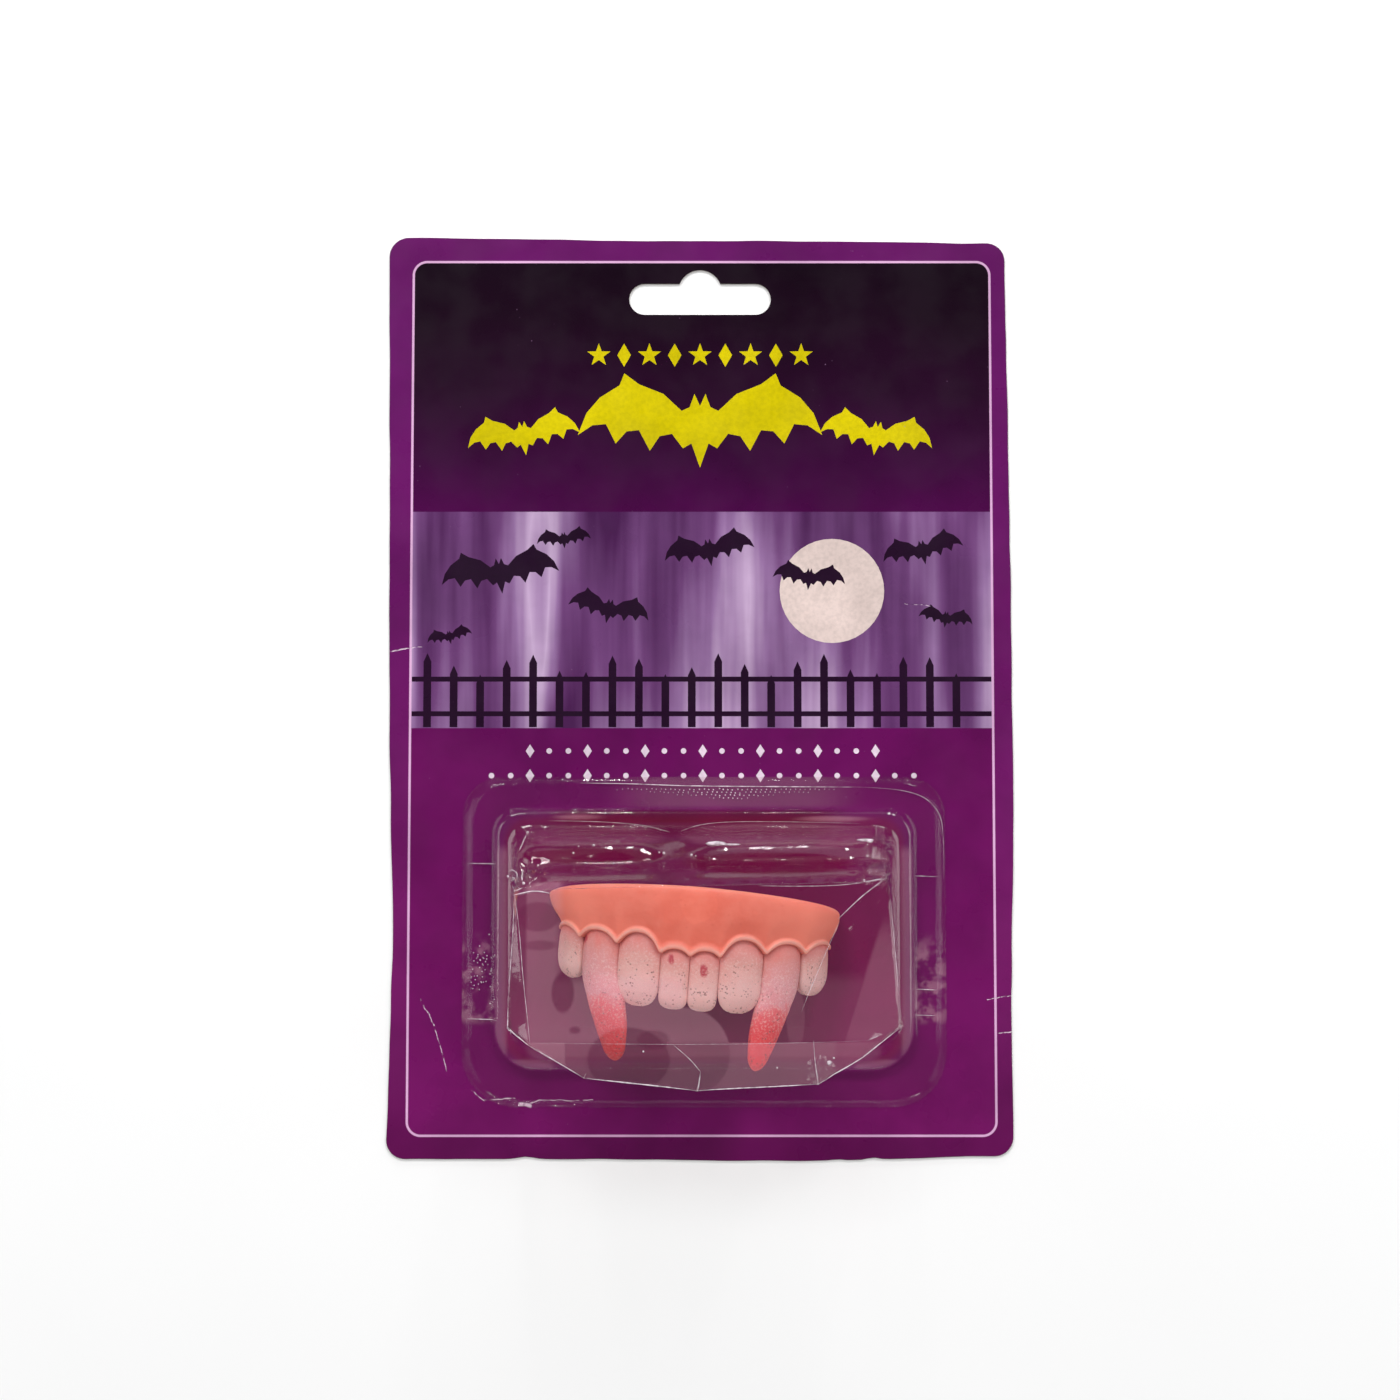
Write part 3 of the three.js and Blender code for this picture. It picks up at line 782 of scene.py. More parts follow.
def gum_cut(s):
    """The cut through the gum at s, as points [in front of the bed, height]."""
    share = abs(s) / ARCH_HALF
    top = GUM_HEIGHT - FLANGE_DROP * abs(arch_angle(s) / (math.pi / 2)) ** 1.7
    line = soft_gum_line(s)
    under = tray_under(s)
    floor = under + TRAY_FLOOR
    inner = -BED_WALL - CHANNEL_WIDTH
    rear = inner - LINGUAL_WALL
    rear_top = LINGUAL_TOP * (1 - 0.4 * share)
    low = 0.8 * GUM_PROUD * (1 - RIM_TAPER * share**5)
    bead = low + BEAD_PROUD
    soft = 0.3 * BED_WALL
    body = (line + top) / 2
    back = GUM_PROUD - GUM_WALL
    return [
        [back, top - soft],
        [back + soft, top],
        [0.82 * GUM_PROUD, top],
        [GUM_PROUD, top - 0.05 * GUM_HEIGHT],
        [GUM_PROUD + 0.35 * (low - 0.8 * GUM_PROUD), body],
        [1.04 * low, line + 0.42 * (body - line)],
        [low, line + 0.27 * (body - line)],
        [bead - 0.1 * BEAD_PROUD, line + 2 * BEAD_PROUD],
        [bead, line + 1.1 * BEAD_PROUD],
        [bead - 0.25 * BEAD_PROUD, line + 0.3 * BEAD_PROUD],
        [bead - 1.5 * BEAD_PROUD, line],
        [0.3, line],
        [0, line - 0.4],
        [0, (line + under) / 2],
        [0, under + soft],
        [-soft, under],
        [rear + soft, under],
        [rear, under + soft],
        [rear, rear_top - soft],
        [rear + soft, rear_top],
        [inner - soft, rear_top],
        [inner, rear_top - soft],
        [inner, floor],
        [-BED_WALL, floor],
        [-BED_WALL, 0.22 * GUM_HEIGHT],
        [back, 0.4 * GUM_HEIGHT],
    ]


GUM_SAMPLES = 4
GUM_STATIONS = 241
GUM_FLARE = 1.6


def build_gum(material):
    stations = np.linspace(-ARCH_HALF, ARCH_HALF, GUM_STATIONS)
    vertices, rim, edge = [], [], []
    count = 0
    for s in stations:
        cut = spline(gum_cut(s), GUM_SAMPLES, closed=True)
        count = len(cut)
        line = soft_gum_line(s)
        top = GUM_HEIGHT - FLANGE_DROP * abs(arch_angle(s) / (math.pi / 2)) ** 1.7
        for proud, height in cut:
            if s < 0 and proud > 1:
                proud += GUM_FLARE * (s / ARCH_HALF) ** 8 * np.clip((height - line) / (top - line), 0, 1)
            if proud > GUM_WALL - BED_WALL and line + 1 < height < top:
                ripple = noise.noise(Vector((s / 7, height / 5, 1.0)))
                proud += 0.16 * ripple
            vertices.append(arch_point(s, height, proud))
            rim.append(math.exp(-(((height - line - 0.6) / 0.6) ** 2)) if proud > 0.9 else 0)
            # edge marks where the painted highlight along the gum's top goes
            edge.append(math.exp(-(((height - top) / 0.5) ** 2)) if proud > 0 else 0)
    faces = loft_faces(GUM_STATIONS, count, flip=True)
    faces += [tuple(range(count)), tuple(range((GUM_STATIONS - 1) * count, GUM_STATIONS * count))[::-1]]
    return mesh_object("gum_vinyl", vertices, faces, [material], attributes={"rim": rim, "edge": edge})


CROWN_RING = 56
# The left fang leans further in than the right one, which is slimmer from its middle down
FANG_LEAN = {-1: 1.16, 1: 0.93}
FANG_SLIM = {-1: 0.97, 1: 0.86}
CROWN_ROWS = 46


def build_crown(tooth, side, material):
    """A tooth, on the left half of the mouth for a side of -1 and on the right for 1."""
    form = FANG_FORM if tooth["name"] == "fang" else INCISOR_FORM
    lean = FANG_LEAN[side]
    width = tooth["end"] - tooth["start"]
    centre = (tooth["start"] + tooth["end"]) / 2
    turns = np.linspace(0, 2 * math.pi, CROWN_RING, endpoint=False)
    rows = np.sin(np.linspace(0, math.pi / 2, CROWN_ROWS))
    vertices, down = [], []
    for at in rows:
        row = {key: column(form, key, at, "down") for key in ("half", "lean", "middle", "front", "back")}
        if tooth["name"] == "fang":
            row["half"] *= 1 + (FANG_SLIM[side] - 1) * np.clip((at - 0.2) / 0.25, 0, 1)
        past = max(0, at - tooth["knee"]) / (1 - tooth["knee"])
        closing = max(0.04, 1 - past ** tooth["square"]) ** (1 / tooth["square"])
        thin = max(0.04, 1 - past**4) ** 0.5
        for turn in turns:
            u, lobe = -math.cos(turn), math.sin(turn)
            rim = max(0.0, 1 - abs(u) ** 2.2) ** 0.5
            s = centre - lean * row["lean"] * width + u * row["half"] * width * closing
            top = soft_gum_line(centre + u * width / 2) + 0.5
            height = top + (tooth["tip"] - top) * at
            depth = row["front"] if lobe >= 0 else -row["back"]
            proud = CROWN_PROUD * (row["middle"] + depth * rim * thin)
            if height > tray_under(s) - 1.2 and lobe < 0:
                proud = 0.1
            dent = noise.noise(Vector((s / 2.6, height / 3.4, 5.0 * side + centre)))
            proud += 0.12 * dent * (lobe > 0) * min(1, 6 * at)
            vertices.append(arch_point(side * s, height, proud))
            down.append(at)
    faces = loft_faces(CROWN_ROWS, CROWN_RING, flip=side < 0)
    caps = [tuple(range(CROWN_RING)), tuple(range((CROWN_ROWS - 1) * CROWN_RING, CROWN_ROWS * CROWN_RING))]
    faces += [caps[0][::-1], caps[1]] if side > 0 else [caps[0], caps[1][::-1]]
    name = f"crown_{tooth['name']}_{'left' if side < 0 else 'right'}"
    return mesh_object(name, vertices, faces, [material], attributes={"down": down})


def gum_material():
    graph = Graph("gum_vinyl")
    mottle = graph.noise(5, 4, 0.6)
    base = graph.mix(graph.span(mottle, 0.35, 0.65), linear(229, 113, 93), linear(234, 124, 104))
    # Painted light: the gum is painted lighter towards the arch's ends, where it turns away from the lamps
    off_middle = graph.absolute(graph.plus(graph.part(graph.mm, "X"), 1.8))
    ends = graph.span(off_middle, 12, 27, 0.0, 0.9)
    base = graph.mix(ends, base, linear(252, 140, 118))
    pale = graph.times(graph.attribute("rim"), 0.62)
    color = graph.mix(pale, base, linear(226, 176, 164))
    # Painted highlight: the gum's top edge is lighter, as if lit from above
    color = graph.mix(graph.times(graph.attribute("edge"), 0.55), color, linear(236, 156, 138))
    specks = graph.span(graph.cells(1.9), 0.05, 0.12, 0.3, 0.0)
    color = graph.mix(specks, color, linear(190, 70, 60))
    skin = graph.bump(graph.noise(0.8, 3), 0.05)
    skin = graph.bump(graph.noise(4, 2, offset=4), 0.12, skin)
    surface = graph.principled(
        Base_Color=color, Roughness=0.5, Normal=skin, Specular_IOR_Level=0.35,
        Subsurface_Weight=0.25, Subsurface_Radius=(1.0, 0.35, 0.2), Subsurface_Scale=0.8 * MM,
    )
    return graph.done(surface)


# Blood spots on the teeth: place on the card and radius
SPOTS = [
    ((-5.9, -54.3), 0.8),
    ((0.8, -56.7), 1.0),
    ((-24.0, -50.7), 0.8),
]


def tooth_material(name, stops, bloody=0.6):
    """Moulded vinyl, painted paler down the tooth, with powdery bloom, dirty pits and spots of blood."""
    graph = Graph(name)
    down = graph.attribute("down")
    wander = graph.plus(down, graph.times(graph.minus(graph.noise(2.4, 3), 0.5), 0.2))
    color = graph.ramp(wander, [(place, linear(*ink)) for place, ink in stops])
    powder = graph.span(graph.noise(0.5, 3, 0.7), 0.48, 0.66)
    powder = graph.times(powder, graph.span(down, 0.08, 0.3, 0.1, 0.5))
    powder = graph.times(powder, graph.span(down, 0.55, 0.82, 1.0, bloody))
    color = graph.mix(powder, color, linear(228, 196, 190))
    pits = graph.fade(graph.cells(0.62), 0.22, 0.36)
    patch = graph.span(graph.noise(2.4, 3, offset=9), 0.48, 0.6)
    pitted = graph.times(pits, patch, graph.span(down, 0.2, 0.5))
    color = graph.mix(graph.times(pitted, 0.62), color, linear(96, 68, 62))
    wobble = graph.minus(graph.noise(1.1, 2, offset=6), 0.5)
    blown = graph.vector("ADD", graph.mm, graph.scaled((1, -0.6, 0), wobble))
    blown = graph.vector("MULTIPLY", blown, (1, 0.6, 0))
    spots = None
    for (x, y), radius in SPOTS:
        off = graph.vector("DISTANCE", blown, (x, 0.6 * y, 0))
        spot = graph.fade(off, 0.5 * radius, radius)
        spots = spot if spots is None else graph.most(spots, spot)
    ragged = graph.times(spots, graph.span(graph.noise(0.9, 2, offset=2), 0.3, 0.5, 0.3, 0.85))
    color = graph.mix(ragged, color, linear(178, 40, 64))
    skin = graph.bump(graph.noise(0.7, 2), 0.05)
    skin = graph.bump(pitted, -0.09, skin)
    surface = graph.principled(
        Base_Color=color, Roughness=0.5, Normal=skin, Specular_IOR_Level=0.35,
        Subsurface_Weight=0.2, Subsurface_Radius=(1.0, 0.4, 0.3), Subsurface_Scale=0.6 * MM,
    )
    return graph.done(surface)


TOOTH_INK = [
    (0.0, (218, 116, 108)),
    (0.13, (216, 138, 134)),
    (0.34, (219, 160, 154)),
    (0.7, (233, 188, 184)),
    (1.0, (240, 190, 184)),
]
FANG_INK = [
    (0.0, (218, 116, 108)),
    (0.13, (214, 138, 134)),
    (0.32, (214, 152, 156)),
    (0.46, (216, 142, 148)),
    (0.56, (224, 96, 102)),
    (0.68, (224, 66, 72)),
]
# The red tips of the left and the right fang; the left one is painted darker for the shade of the film's
# dark band across it
FANG_TIPS_AND_SHADE = {-1: (198, 10, 20), 1: (238, 62, 66)}


# Blister

# The front face's outline, anticlockwise from its lower left: a point, the steps to the next one, and the
# side of the film's foot that the stretch stands over
FACE_PATH = table(
    "x y steps side",
    (-34.4, -72.2, 8, "low"),
    (-23.8, -78.7, 16, "low"),
    (-0.6, -81.3, 16, "low"),
    (24.2, -80.0, 8, "low"),
    (33.4, -74.4, 6, "low_right"),
    (41.6, -68.0, 4, "low_right"),
    (41.0, -61.5, 18, "right"),
    (39.5, -43.0, 8, "top_right"),
    (38.6, -37.6, 8, "top_right"),
    (33.0, -38.2, 20, "top"),
    (-2.0, -38.9, 18, "top"),
    (-31.0, -39.6, 12, "top_left"),
    (-38.2, -41.0, 10, "top_left"),
    (-38.4, -46.5, 16, "left"),
    (-39.5, -64.0, 5, "low_left"),
    (-39.6, -68.5, 5, "low_left"),
)
SIDES = ["low", "low_right", "right", "top_right", "top", "top_left", "left", "low_left"]
FACE_MIDDLE = (0.0, -57.0)
# How far the upper wall has leant in towards the face at a share of the film's height
TOP_LEAN = table(
    "up share",
    (0.08, 0.0),
    (0.24, 0.1),
    (0.36, 0.2),
    (0.46, 0.4),
    (0.57, 0.6),
    (0.7, 0.7),
    (0.82, 0.8),
    (0.94, 0.93),
    (1.0, 1.0),
)
WALL_SHARES = np.concatenate([np.linspace(0.09, 0.9, 30), [0.93, 0.955, 0.975, 0.99]])
FACE_SHARES = np.concatenate([[0.003, 0.008, 0.016, 0.03], np.linspace(0.05, 0.97, 42)])
# The face falls back beyond a low crease and beyond one at each side, which lean with height
LOW_CREASE, LOW_FALL = -71, 0.2
LEFT_CREASE, LEFT_SLANT, LEFT_FALL = (-36.2, -56), 0.09, 0.2
RIGHT_CREASE, RIGHT_SLANT, RIGHT_FALL = (29, -45), 0.05, 0.14
# The upper wall's pillows and the roll above them: shares of the film's height and how far they stand out
PILLOW_START, PILLOW_SPAN, PILLOW_OUT = 0.31, 0.3, 2.1
ROLL_START, ROLL_SPAN, ROLL_OUT = 0.66, 0.26, 0.9
PILLOW_LEFT, PILLOW_RIGHT, PILLOW_REACH = -22, 17, 18
PINCH_AT, PINCH_REACH = -5, 5
# Folds across the front face: two ends, height of the ridge and the width of each slope
FOLDS = [
    ((-37.6, -41.4), (-34.4, -71.2), 0.55, 5.0),
    ((-34.4, -71.0), (33.9, -70.6), 0.5, 3.6),
    ((33.9, -70.6), (40.8, -67.8), 0.4, 3.0),
    ((37.7, -38.0), (28.0, -46.1), 0.5, 3.0),
    ((28.6, -46.1), (27.7, -71.1), 0.15, 5.0),
    ((22.8, -51.6), (20.8, -64.6), 0.25, 2.5),
    ((20.8, -64.6), (24.0, -79.6), 0.35, 3.0),
    ((-0.4, -81.0), (0.1, -77.0), 0.4, 2.2),
    ((0.1, -77.0), (-5.3, -71.5), 0.25, 2.2),
]
# Crumpled places: the middle, their reach and how deep they are
CRUMPLES = [
    ((-38.0, -37.0, 21.0), 6.5, 1.5),
    ((-39.5, -29.0, 12.0), 4.5, 1.0),
    ((37.5, -36.5, 24.0), 6.0, 1.1),
    ((39.5, -31.0, 14.0), 5.0, 0.8),
    ((-40.5, -70.5, 22.0), 5.0, 0.8),
    ((41.0, -69.5, 22.0), 5.0, 0.8),
    ((24.5, -77.0, 26.0), 4.0, 0.5),
    ((26.4, -75.3, 27.0), 2.0, 0.7),
]
# White stress lines along folds of the face: points on it and half width
FACE_STRESS = [
    ([(-37.6, -41.4), (-36.6, -50.0), (-36.0, -57.0), (-34.4, -71.4)], 0.07),
    ([(-34.4, -71.0), (-17.8, -71.2), (-0.8, -71.3), (14.9, -71.1), (33.9, -70.6)], 0.028),
    ([(33.9, -70.6), (36.5, -69.6)], 0.08),
    ([(37.7, -38.0), (33.1, -41.4), (28.0, -46.1)], 0.09),
    ([(28.4, -46.5), (26.0, -52.0), (20.6, -64.6)], 0.05),
    ([(23.0, -70.5), (23.4, -75.0), (24.1, -79.6)], 0.1),
    ([(-0.4, -81.0), (0.1, -77.0)], 0.14),
    ([(0.1, -77.0), (-2.1, -74.4), (-5.3, -71.5)], 0.08),
    ([(-38.0, -41.2), (-33.6, -40.4), (-30.3, -40.9)], 0.12),
    ([(-41.4, -37.6), (-40.2, -36.8), (-38.6, -37.0), (-37.6, -38.2)], 0.13),
    ([(-40.6, -39.5), (-39.4, -38.2), (-38.0, -38.9)], 0.12),
    ([(-37.2, -36.4), (-36.9, -37.4), (-36.6, -38.4)], 0.15),
    ([(-36.4, -39.8), (-38.4, -40.6), (-39.9, -40.2)], 0.13),
    ([(-37.3, -29.4), (-37.6, -30.6), (-38.2, -32.6)], 0.1),
    ([(34.0, -38.6), (28.0, -39.2), (20.0, -39.4), (12.0, -39.3)], 0.07),
    ([(-33.0, -26.4), (-20.4, -26.7), (-12.0, -27.5), (-6.4, -28.8)], 0.05),
    ([(-4.6, -28.8), (-0.8, -27.5), (4.1, -26.8), (16.0, -26.6), (34.8, -27.0)], 0.05),
]
# White welts along the face's rim from one of its corners to another, and down the wall from a corner
# over some rows of the film, with half widths
RIM_WELTS = [
    (0, 1, 0.13), (1, 2, 0.15), (2, 3, 0.15), (3, 5, 0.15),
    (6, 7, 0.07), (8, 9, 0.09), (12, 14, 0.08), (14, 16, 0.14),
]
CORNER_WELTS = [
    (1, 12, 0.1), (2, 12, 0.14), (3, 12, 0.12), (5, 14, 0.1), (15, 14, 0.12), (0, 10, 0.07),
]
# White lines on the flange and the half width of each
FLANGE_STRESS = [
    ([(-26.2, -18.2), (-14.9, -18.4), (-3.6, -18.8), (16.1, -19.0), (35.1, -19.1)], 0.13),
    ([(35.1, -19.1), (44.4, -19.9), (49.2, -21.6), (52.2, -25.0), (53.0, -29.6), (53.1, -39.0)], 0.045),
    ([(-50.8, -35.7), (-44.2, -35.8)], 0.09),
    ([(-50.6, -69.3), (-43.9, -69.5)], 0.1),
    ([(46.7, -38.4), (52.0, -38.6)], 0.08),
    ([(46.7, -62.9), (51.4, -63.1)], 0.1),
    ([(46.7, -68.5), (51.0, -68.6)], 0.1),
]
# Painted glints on the film, white dots put where highlights shine: place and half width, then half length
# where it is long
PAINTED_GLINTS = [
    (26.3, -75.2, 0.5),
    (27.2, -74.2, 0.22),
    (15.7, -76.2, 0.2),
    (-11.5, -72.8, 0.2),
    (-36.2, -38.9, 0.3),
    (-39.2, -38.6, 0.2),
    (-41.6, -38.4, 0.25),
    (-37.1, -28.8, 0.26),
    (3.4, -31.05, 0.5, 2.3),
    (6.4, -31.25, 0.22, 2.2),
    (35.0, -30.35, 0.3, 1.9),
    (36.0, -30.6, 0.35, 0.6),
    (-7.6, -33.0, 0.3),
    (-8.6, -32.9, 0.16),
    (-1.8, -33.4, 0.25),
    (-0.9, -33.6, 0.16),
    (-22.4, -31.4, 0.24),
    (-25.6, -31.6, 0.14),
    (-26.6, -33.0, 0.2),
    (33.6, -38.2, 0.2),
]
SEAL_DOT = 0.17
# The face carries a painted reflection haze as far as a round edge at its right: its middle and reach
PAINTED_REFLECTION_HAZE = 0.078
VEIL_END = ((-3.2, -73.3), (9.3, 9.3))
# Painted shade on the upper wall: two dark bands below its pillows, where the film mirrors the dark room:
# middle, reach and strength
WALL_BANDS = [
    ((14.3, -35.0), (17.5, 2.1), 0.6),
    ((-22.5, -33.6), (14.5, 1.6), 0.6),
]
# Painted reflections on the upper wall, a diffuse veil: its pillows and two slivers above them
WALL_PAINTED_GLEAMS = [
    ((17.3, -29.6), (20.5, 2.7), 0.025),
    ((-23.0, -29.6), (14.5, 2.0), 0.02),
    ((-26.4, -25.6), (4.2, 0.5), 0.09),
    ((28.6, -26.0), (6.2, 0.55), 0.1),
]
# A streak of painted reflection haze beside the right fang
STREAK_AT, STREAK_REACH = (19.4, -66.0), (2.0, 6.5)
# Clearer places in the painted reflection haze: middle, reach and the share of haze left
VEIL_GAPS = [
    ((-14.5, -74.6), (8.4, 6.6), 0.46),
    ((-27.9, -61.0), (2.3, 4.0), 0.35),
    ((-33.0, -45.6), (4.4, 3.0), 0.5),
    ((-25.4, -68.5), (1.1, 0.7), 0.4),
    ((-32.6, -51.4), (3.4, 1.0), 0.55),
    ((-9.5, -70.5), (3.2, 2.0), 0.6),
]


def foot_outline(grow, tail, radii, counts):
    """The film's foot, grown all round and by tail at its lower edge, in steps that match the face's."""
    left, right = BUBBLE_MIDDLE - BUBBLE_FOOT_HALF - grow, BUBBLE_MIDDLE + BUBBLE_FOOT_HALF + grow
    low, high = BUBBLE_FOOT_LOW - tail, BUBBLE_FOOT_HIGH + grow
    low_turn, high_turn = radii
    centres = [(left + low_turn, low + low_turn), (right - low_turn, low + low_turn)]
    centres += [(right - high_turn, high - high_turn), (left + high_turn, high - high_turn)]
    quarter = math.pi / 2
    out = []
    for n, side in enumerate(SIDES):
        corner = centres[(n // 2 + 1) % 4]
        radius = radii[(n // 2 + 1) % 4 // 2]
        if n % 2:
            turned = arc(corner, radius, (n // 2 - 1) * quarter, n // 2 * quarter, counts[side])
        else:
            turn = (n // 2 - 1) * quarter
            reach = np.array([math.cos(turn), math.sin(turn)])
            start = np.array(centres[n // 2]) + reach * radii[n // 2 // 2]
            end = np.array(corner) + reach * radius
            turned = [start + (end - start) * t for t in np.arange(counts[side] + 1) / counts[side]]
        out += [tuple(p) for p in turned[:-1]]
    return np.array(out)


def face_outline():
    """The front face's outline, with the index of each of its corners."""
    out, corners = [], []
    for row, after in zip(FACE_PATH, FACE_PATH[1:] + FACE_PATH[:1]):
        corners.append(len(out))
        for k in range(row["steps"]):
            t = k / row["steps"]
            out.append((row["x"] + (after["x"] - row["x"]) * t, row["y"] + (after["y"] - row["y"]) * t))
    return np.array(out), corners


def segment_distance(point, start, end):
    start, end = np.array(start), np.array(end)
    along = end - start
    t = np.clip(np.dot(point - start, along) / np.dot(along, along), 0, 1)
    return np.linalg.norm(point - start - along * t)


def face_height(x, y):
    """The height of the folded front face."""
    z = BUBBLE_TOP_Z - 0.75
    z -= LOW_FALL * max(0, LOW_CREASE - y) ** 1.05
    z -= LEFT_FALL * max(0, LEFT_CREASE[0] - LEFT_SLANT * (y - LEFT_CREASE[1]) - x)
    z -= RIGHT_FALL * max(0, x - RIGHT_CREASE[0] + RIGHT_SLANT * (y - RIGHT_CREASE[1]))
    point = np.array([x, y])
    for start, end, height, width in FOLDS:
        z += height * max(0, 1 - segment_distance(point, start, end) / width) ** 1.3
    z += 0.3 * noise.noise(Vector((x / 19, y / 16, 4.0)))
    return min(z, BUBBLE_TOP_Z - 0.05)


def lobes(x, up):
    """The upper wall's two pillows, pinched in between them, and the roll above."""
    pinch = 1 - 0.95 * math.exp(-(((x - PINCH_AT) / PINCH_REACH) ** 2))
    ends = np.clip((41 - abs(x)) / 5, 0, 1)
    ends = ends * ends * (3 - 2 * ends)
    pillow = math.sin(math.pi * np.clip((up - PILLOW_START) / PILLOW_SPAN, 0, 1)) * PILLOW_OUT
    roll = math.sin(math.pi * np.clip((up - ROLL_START) / ROLL_SPAN, 0, 1)) * ROLL_OUT
    middle = PILLOW_RIGHT if x > PINCH_AT else PILLOW_LEFT
    pillow *= 1 - 0.25 * ((x - middle) / PILLOW_REACH) ** 2
    uneven = 0.95 + 0.15 * noise.noise(Vector((x / 11, 3.0, up * 2)))
    return (pillow * pinch + roll * (0.4 + 0.6 * pinch)) * ends * uneven


def film_dent(point, strength):
    """How far the film stands out at a point through dents and crumples, in millimetres."""
    place = Vector(point)
    out = 0.25 * noise.noise(place / 13) + 0.1 * noise.noise(place / 5 + Vector((9, 2, 5)))
    for middle, reach, depth in CRUMPLES:
        near = math.exp(-((place - Vector(middle)).length_squared) / reach**2)
        if near > 0.02:
            sharp = 0.5 - 2 * abs(noise.noise(place / 2.6 + Vector((3, 8, 1))))
            out += near * depth * (sharp - 0.3)
    return out * strength


def film_rings():
    """Rings of the formed film from the flange's rim to the face's middle, and the face's corners."""
    face, corners = face_outline()
    counts = {side: sum(row["steps"] for row in FACE_PATH if row["side"] == side) for side in SIDES}
    base = FILM_BASE + FILM

    def level(outline, z):
        return np.column_stack([outline, np.full(len(outline), z)])

    rings = []
    for grow, tail, z in (
        (FLANGE_WIDTH, FLANGE_TAIL, base),
        (0.6 * FLANGE_WIDTH, 0.6 * FLANGE_TAIL, base + 0.08),
        (0.2 * FLANGE_WIDTH, 0.2 * FLANGE_TAIL, base + 0.05),
        (0.25, 0.25, base),
        (0, 0, base + 0.25),
        (-0.15, -0.15, base + 0.6 * LEDGE_HEIGHT),
        (-0.5, -0.5, base + 0.9 * LEDGE_HEIGHT),
        (-1.0, -1.0, base + LEDGE_HEIGHT),
        (-2.4, -1.2, base + 0.97 * LEDGE_HEIGHT),
    ):
        radii = (FOOT_CORNER_LOW + 0.4 * grow, FOOT_CORNER_HIGH + 0.4 * grow)
        rings.append(level(foot_outline(grow, tail, radii, counts), z))
    inset_side = BUBBLE_FOOT_HALF - BUBBLE_HALF
    foot = foot_outline(-inset_side, -WALL_INSET, (WALL_CORNER_LOW, WALL_CORNER_HIGH), counts)
    first_wall = len(rings)
    step = np.clip((foot[:, 1] + 62) / 32, 0, 1)
    top = step * step * (3 - 2 * step)
    for up in WALL_SHARES:
        side_share = np.clip((up - 0.05) / 0.87, 0, 1) ** 0.9
        lean = column(TOP_LEAN, "share", up, "up")
        x = foot[:, 0] + (face[:, 0] - foot[:, 0]) * side_share
        y = foot[:, 1] + (face[:, 1] - foot[:, 1]) * (side_share + (lean - side_share) * top)
        ring = []
        for i in range(len(face)):
            high = face_height(*face[i]) - 0.3
            z = FILM_BASE + up * (high - FILM_BASE)
            puff = lobes(x[i], up) * top[i]
            ring.append((x[i], y[i] + 0.55 * puff, z + 0.8 * puff))
        rings.append(np.array(ring))
    middle = np.array(FACE_MIDDLE)
    for share in FACE_SHARES:
        inner = face + (middle - face) * share
        settle = 0.3 * max(0, 1 - share / 0.016) ** 2
        rings.append(np.array([(x, y, face_height(x, y) - settle) for x, y in inner]))
    return np.array(rings), corners, first_wall


def build_film(material):
    rings, corners, first_wall = film_rings()
    count = rings.shape[1]
    along = np.roll(rings, -1, 1) - np.roll(rings, 1, 1)
    normal = np.cross(along, np.gradient(rings, axis=0))
    normal /= np.maximum(np.linalg.norm(normal, axis=2), 1e-6)[:, :, None]
    rim = first_wall + len(WALL_SHARES)
    for k in range(first_wall - 1, len(rings)):
        ramp = min(1, (k - first_wall + 2) / 5)
        strength = ramp * (0.35 if k >= rim else 1)
        for i in range(count):
            rings[k, i] += normal[k, i] * (film_dent(rings[k, i], strength) - 0.2 * ramp)
    rings[:, :, 2] = np.minimum(rings[:, :, 2], BUBBLE_TOP_Z)
    middle = rings[-1].mean(axis=0)
    vertices = np.vstack([rings.reshape(-1, 3), middle[None]])
    faces = loft_faces(len(rings), count)
    last = (len(rings) - 1) * count
    faces += [(last + i, last + (i + 1) % count, len(vertices) - 1) for i in range(count)]
    film = mesh_object("clear_film", vertices, faces, [material])
    thick = film.modifiers.new("thickness", "SOLIDIFY")
    thick.thickness = FILM * MM
    thick.offset = -1
    return film, rings, corners, rim


def tube(points, half_width):
    """A thin round welt along points, its ends drawn out, as vertices and faces."""
    points = np.asarray(points, float)
    count, around = len(points), 6
    tangent = np.gradient(points, axis=0)
    tangent /= np.maximum(np.linalg.norm(tangent, axis=1), 1e-9)[:, None]
    side = np.cross(tangent, (0.2, 0.1, 1.0))
    side /= np.maximum(np.linalg.norm(side, axis=1), 1e-9)[:, None]
    other = np.cross(tangent, side)
    share = np.linspace(0, 1, count)
    taper = np.clip(np.minimum(share, 1 - share) / 0.25, 0.12, 1)
    vertices = []
    for k in range(count):
        uneven = 0.75 + 0.5 * noise.noise(Vector(points[k]) / 1.7)
        for turn in np.arange(around) * 2 * math.pi / around:
            offset = math.cos(turn) * side[k] + math.sin(turn) * other[k]
            vertices.append(points[k] + offset * half_width * taper[k] * uneven)
    faces = loft_faces(count, around)
    faces += [tuple(range(around))[::-1], tuple(range((count - 1) * around, count * around))]
    return vertices, faces


def dot(x, y, z, radius, long=None):
    """A low dome with its flat side down, drawn out along the card's width where it is long."""
    stretch = (long or radius) / radius
    vertices = [(x, y, z + 0.4 * radius)]
    for reach, rise in ((0.6, 0.28), (1.0, 0.0)):
        ring = disc(0, 0, reach * radius, 8)
        vertices += [(x + stretch * a, y + b, z + rise * radius) for a, b in ring]
    faces = [(0, 1 + k, 1 + (k + 1) % 8) for k in range(8)]
    faces += [(1 + k, 9 + k, 9 + (k + 1) % 8, 1 + (k + 1) % 8) for k in range(8)]
    return vertices, faces + [tuple(range(16, 8, -1))]


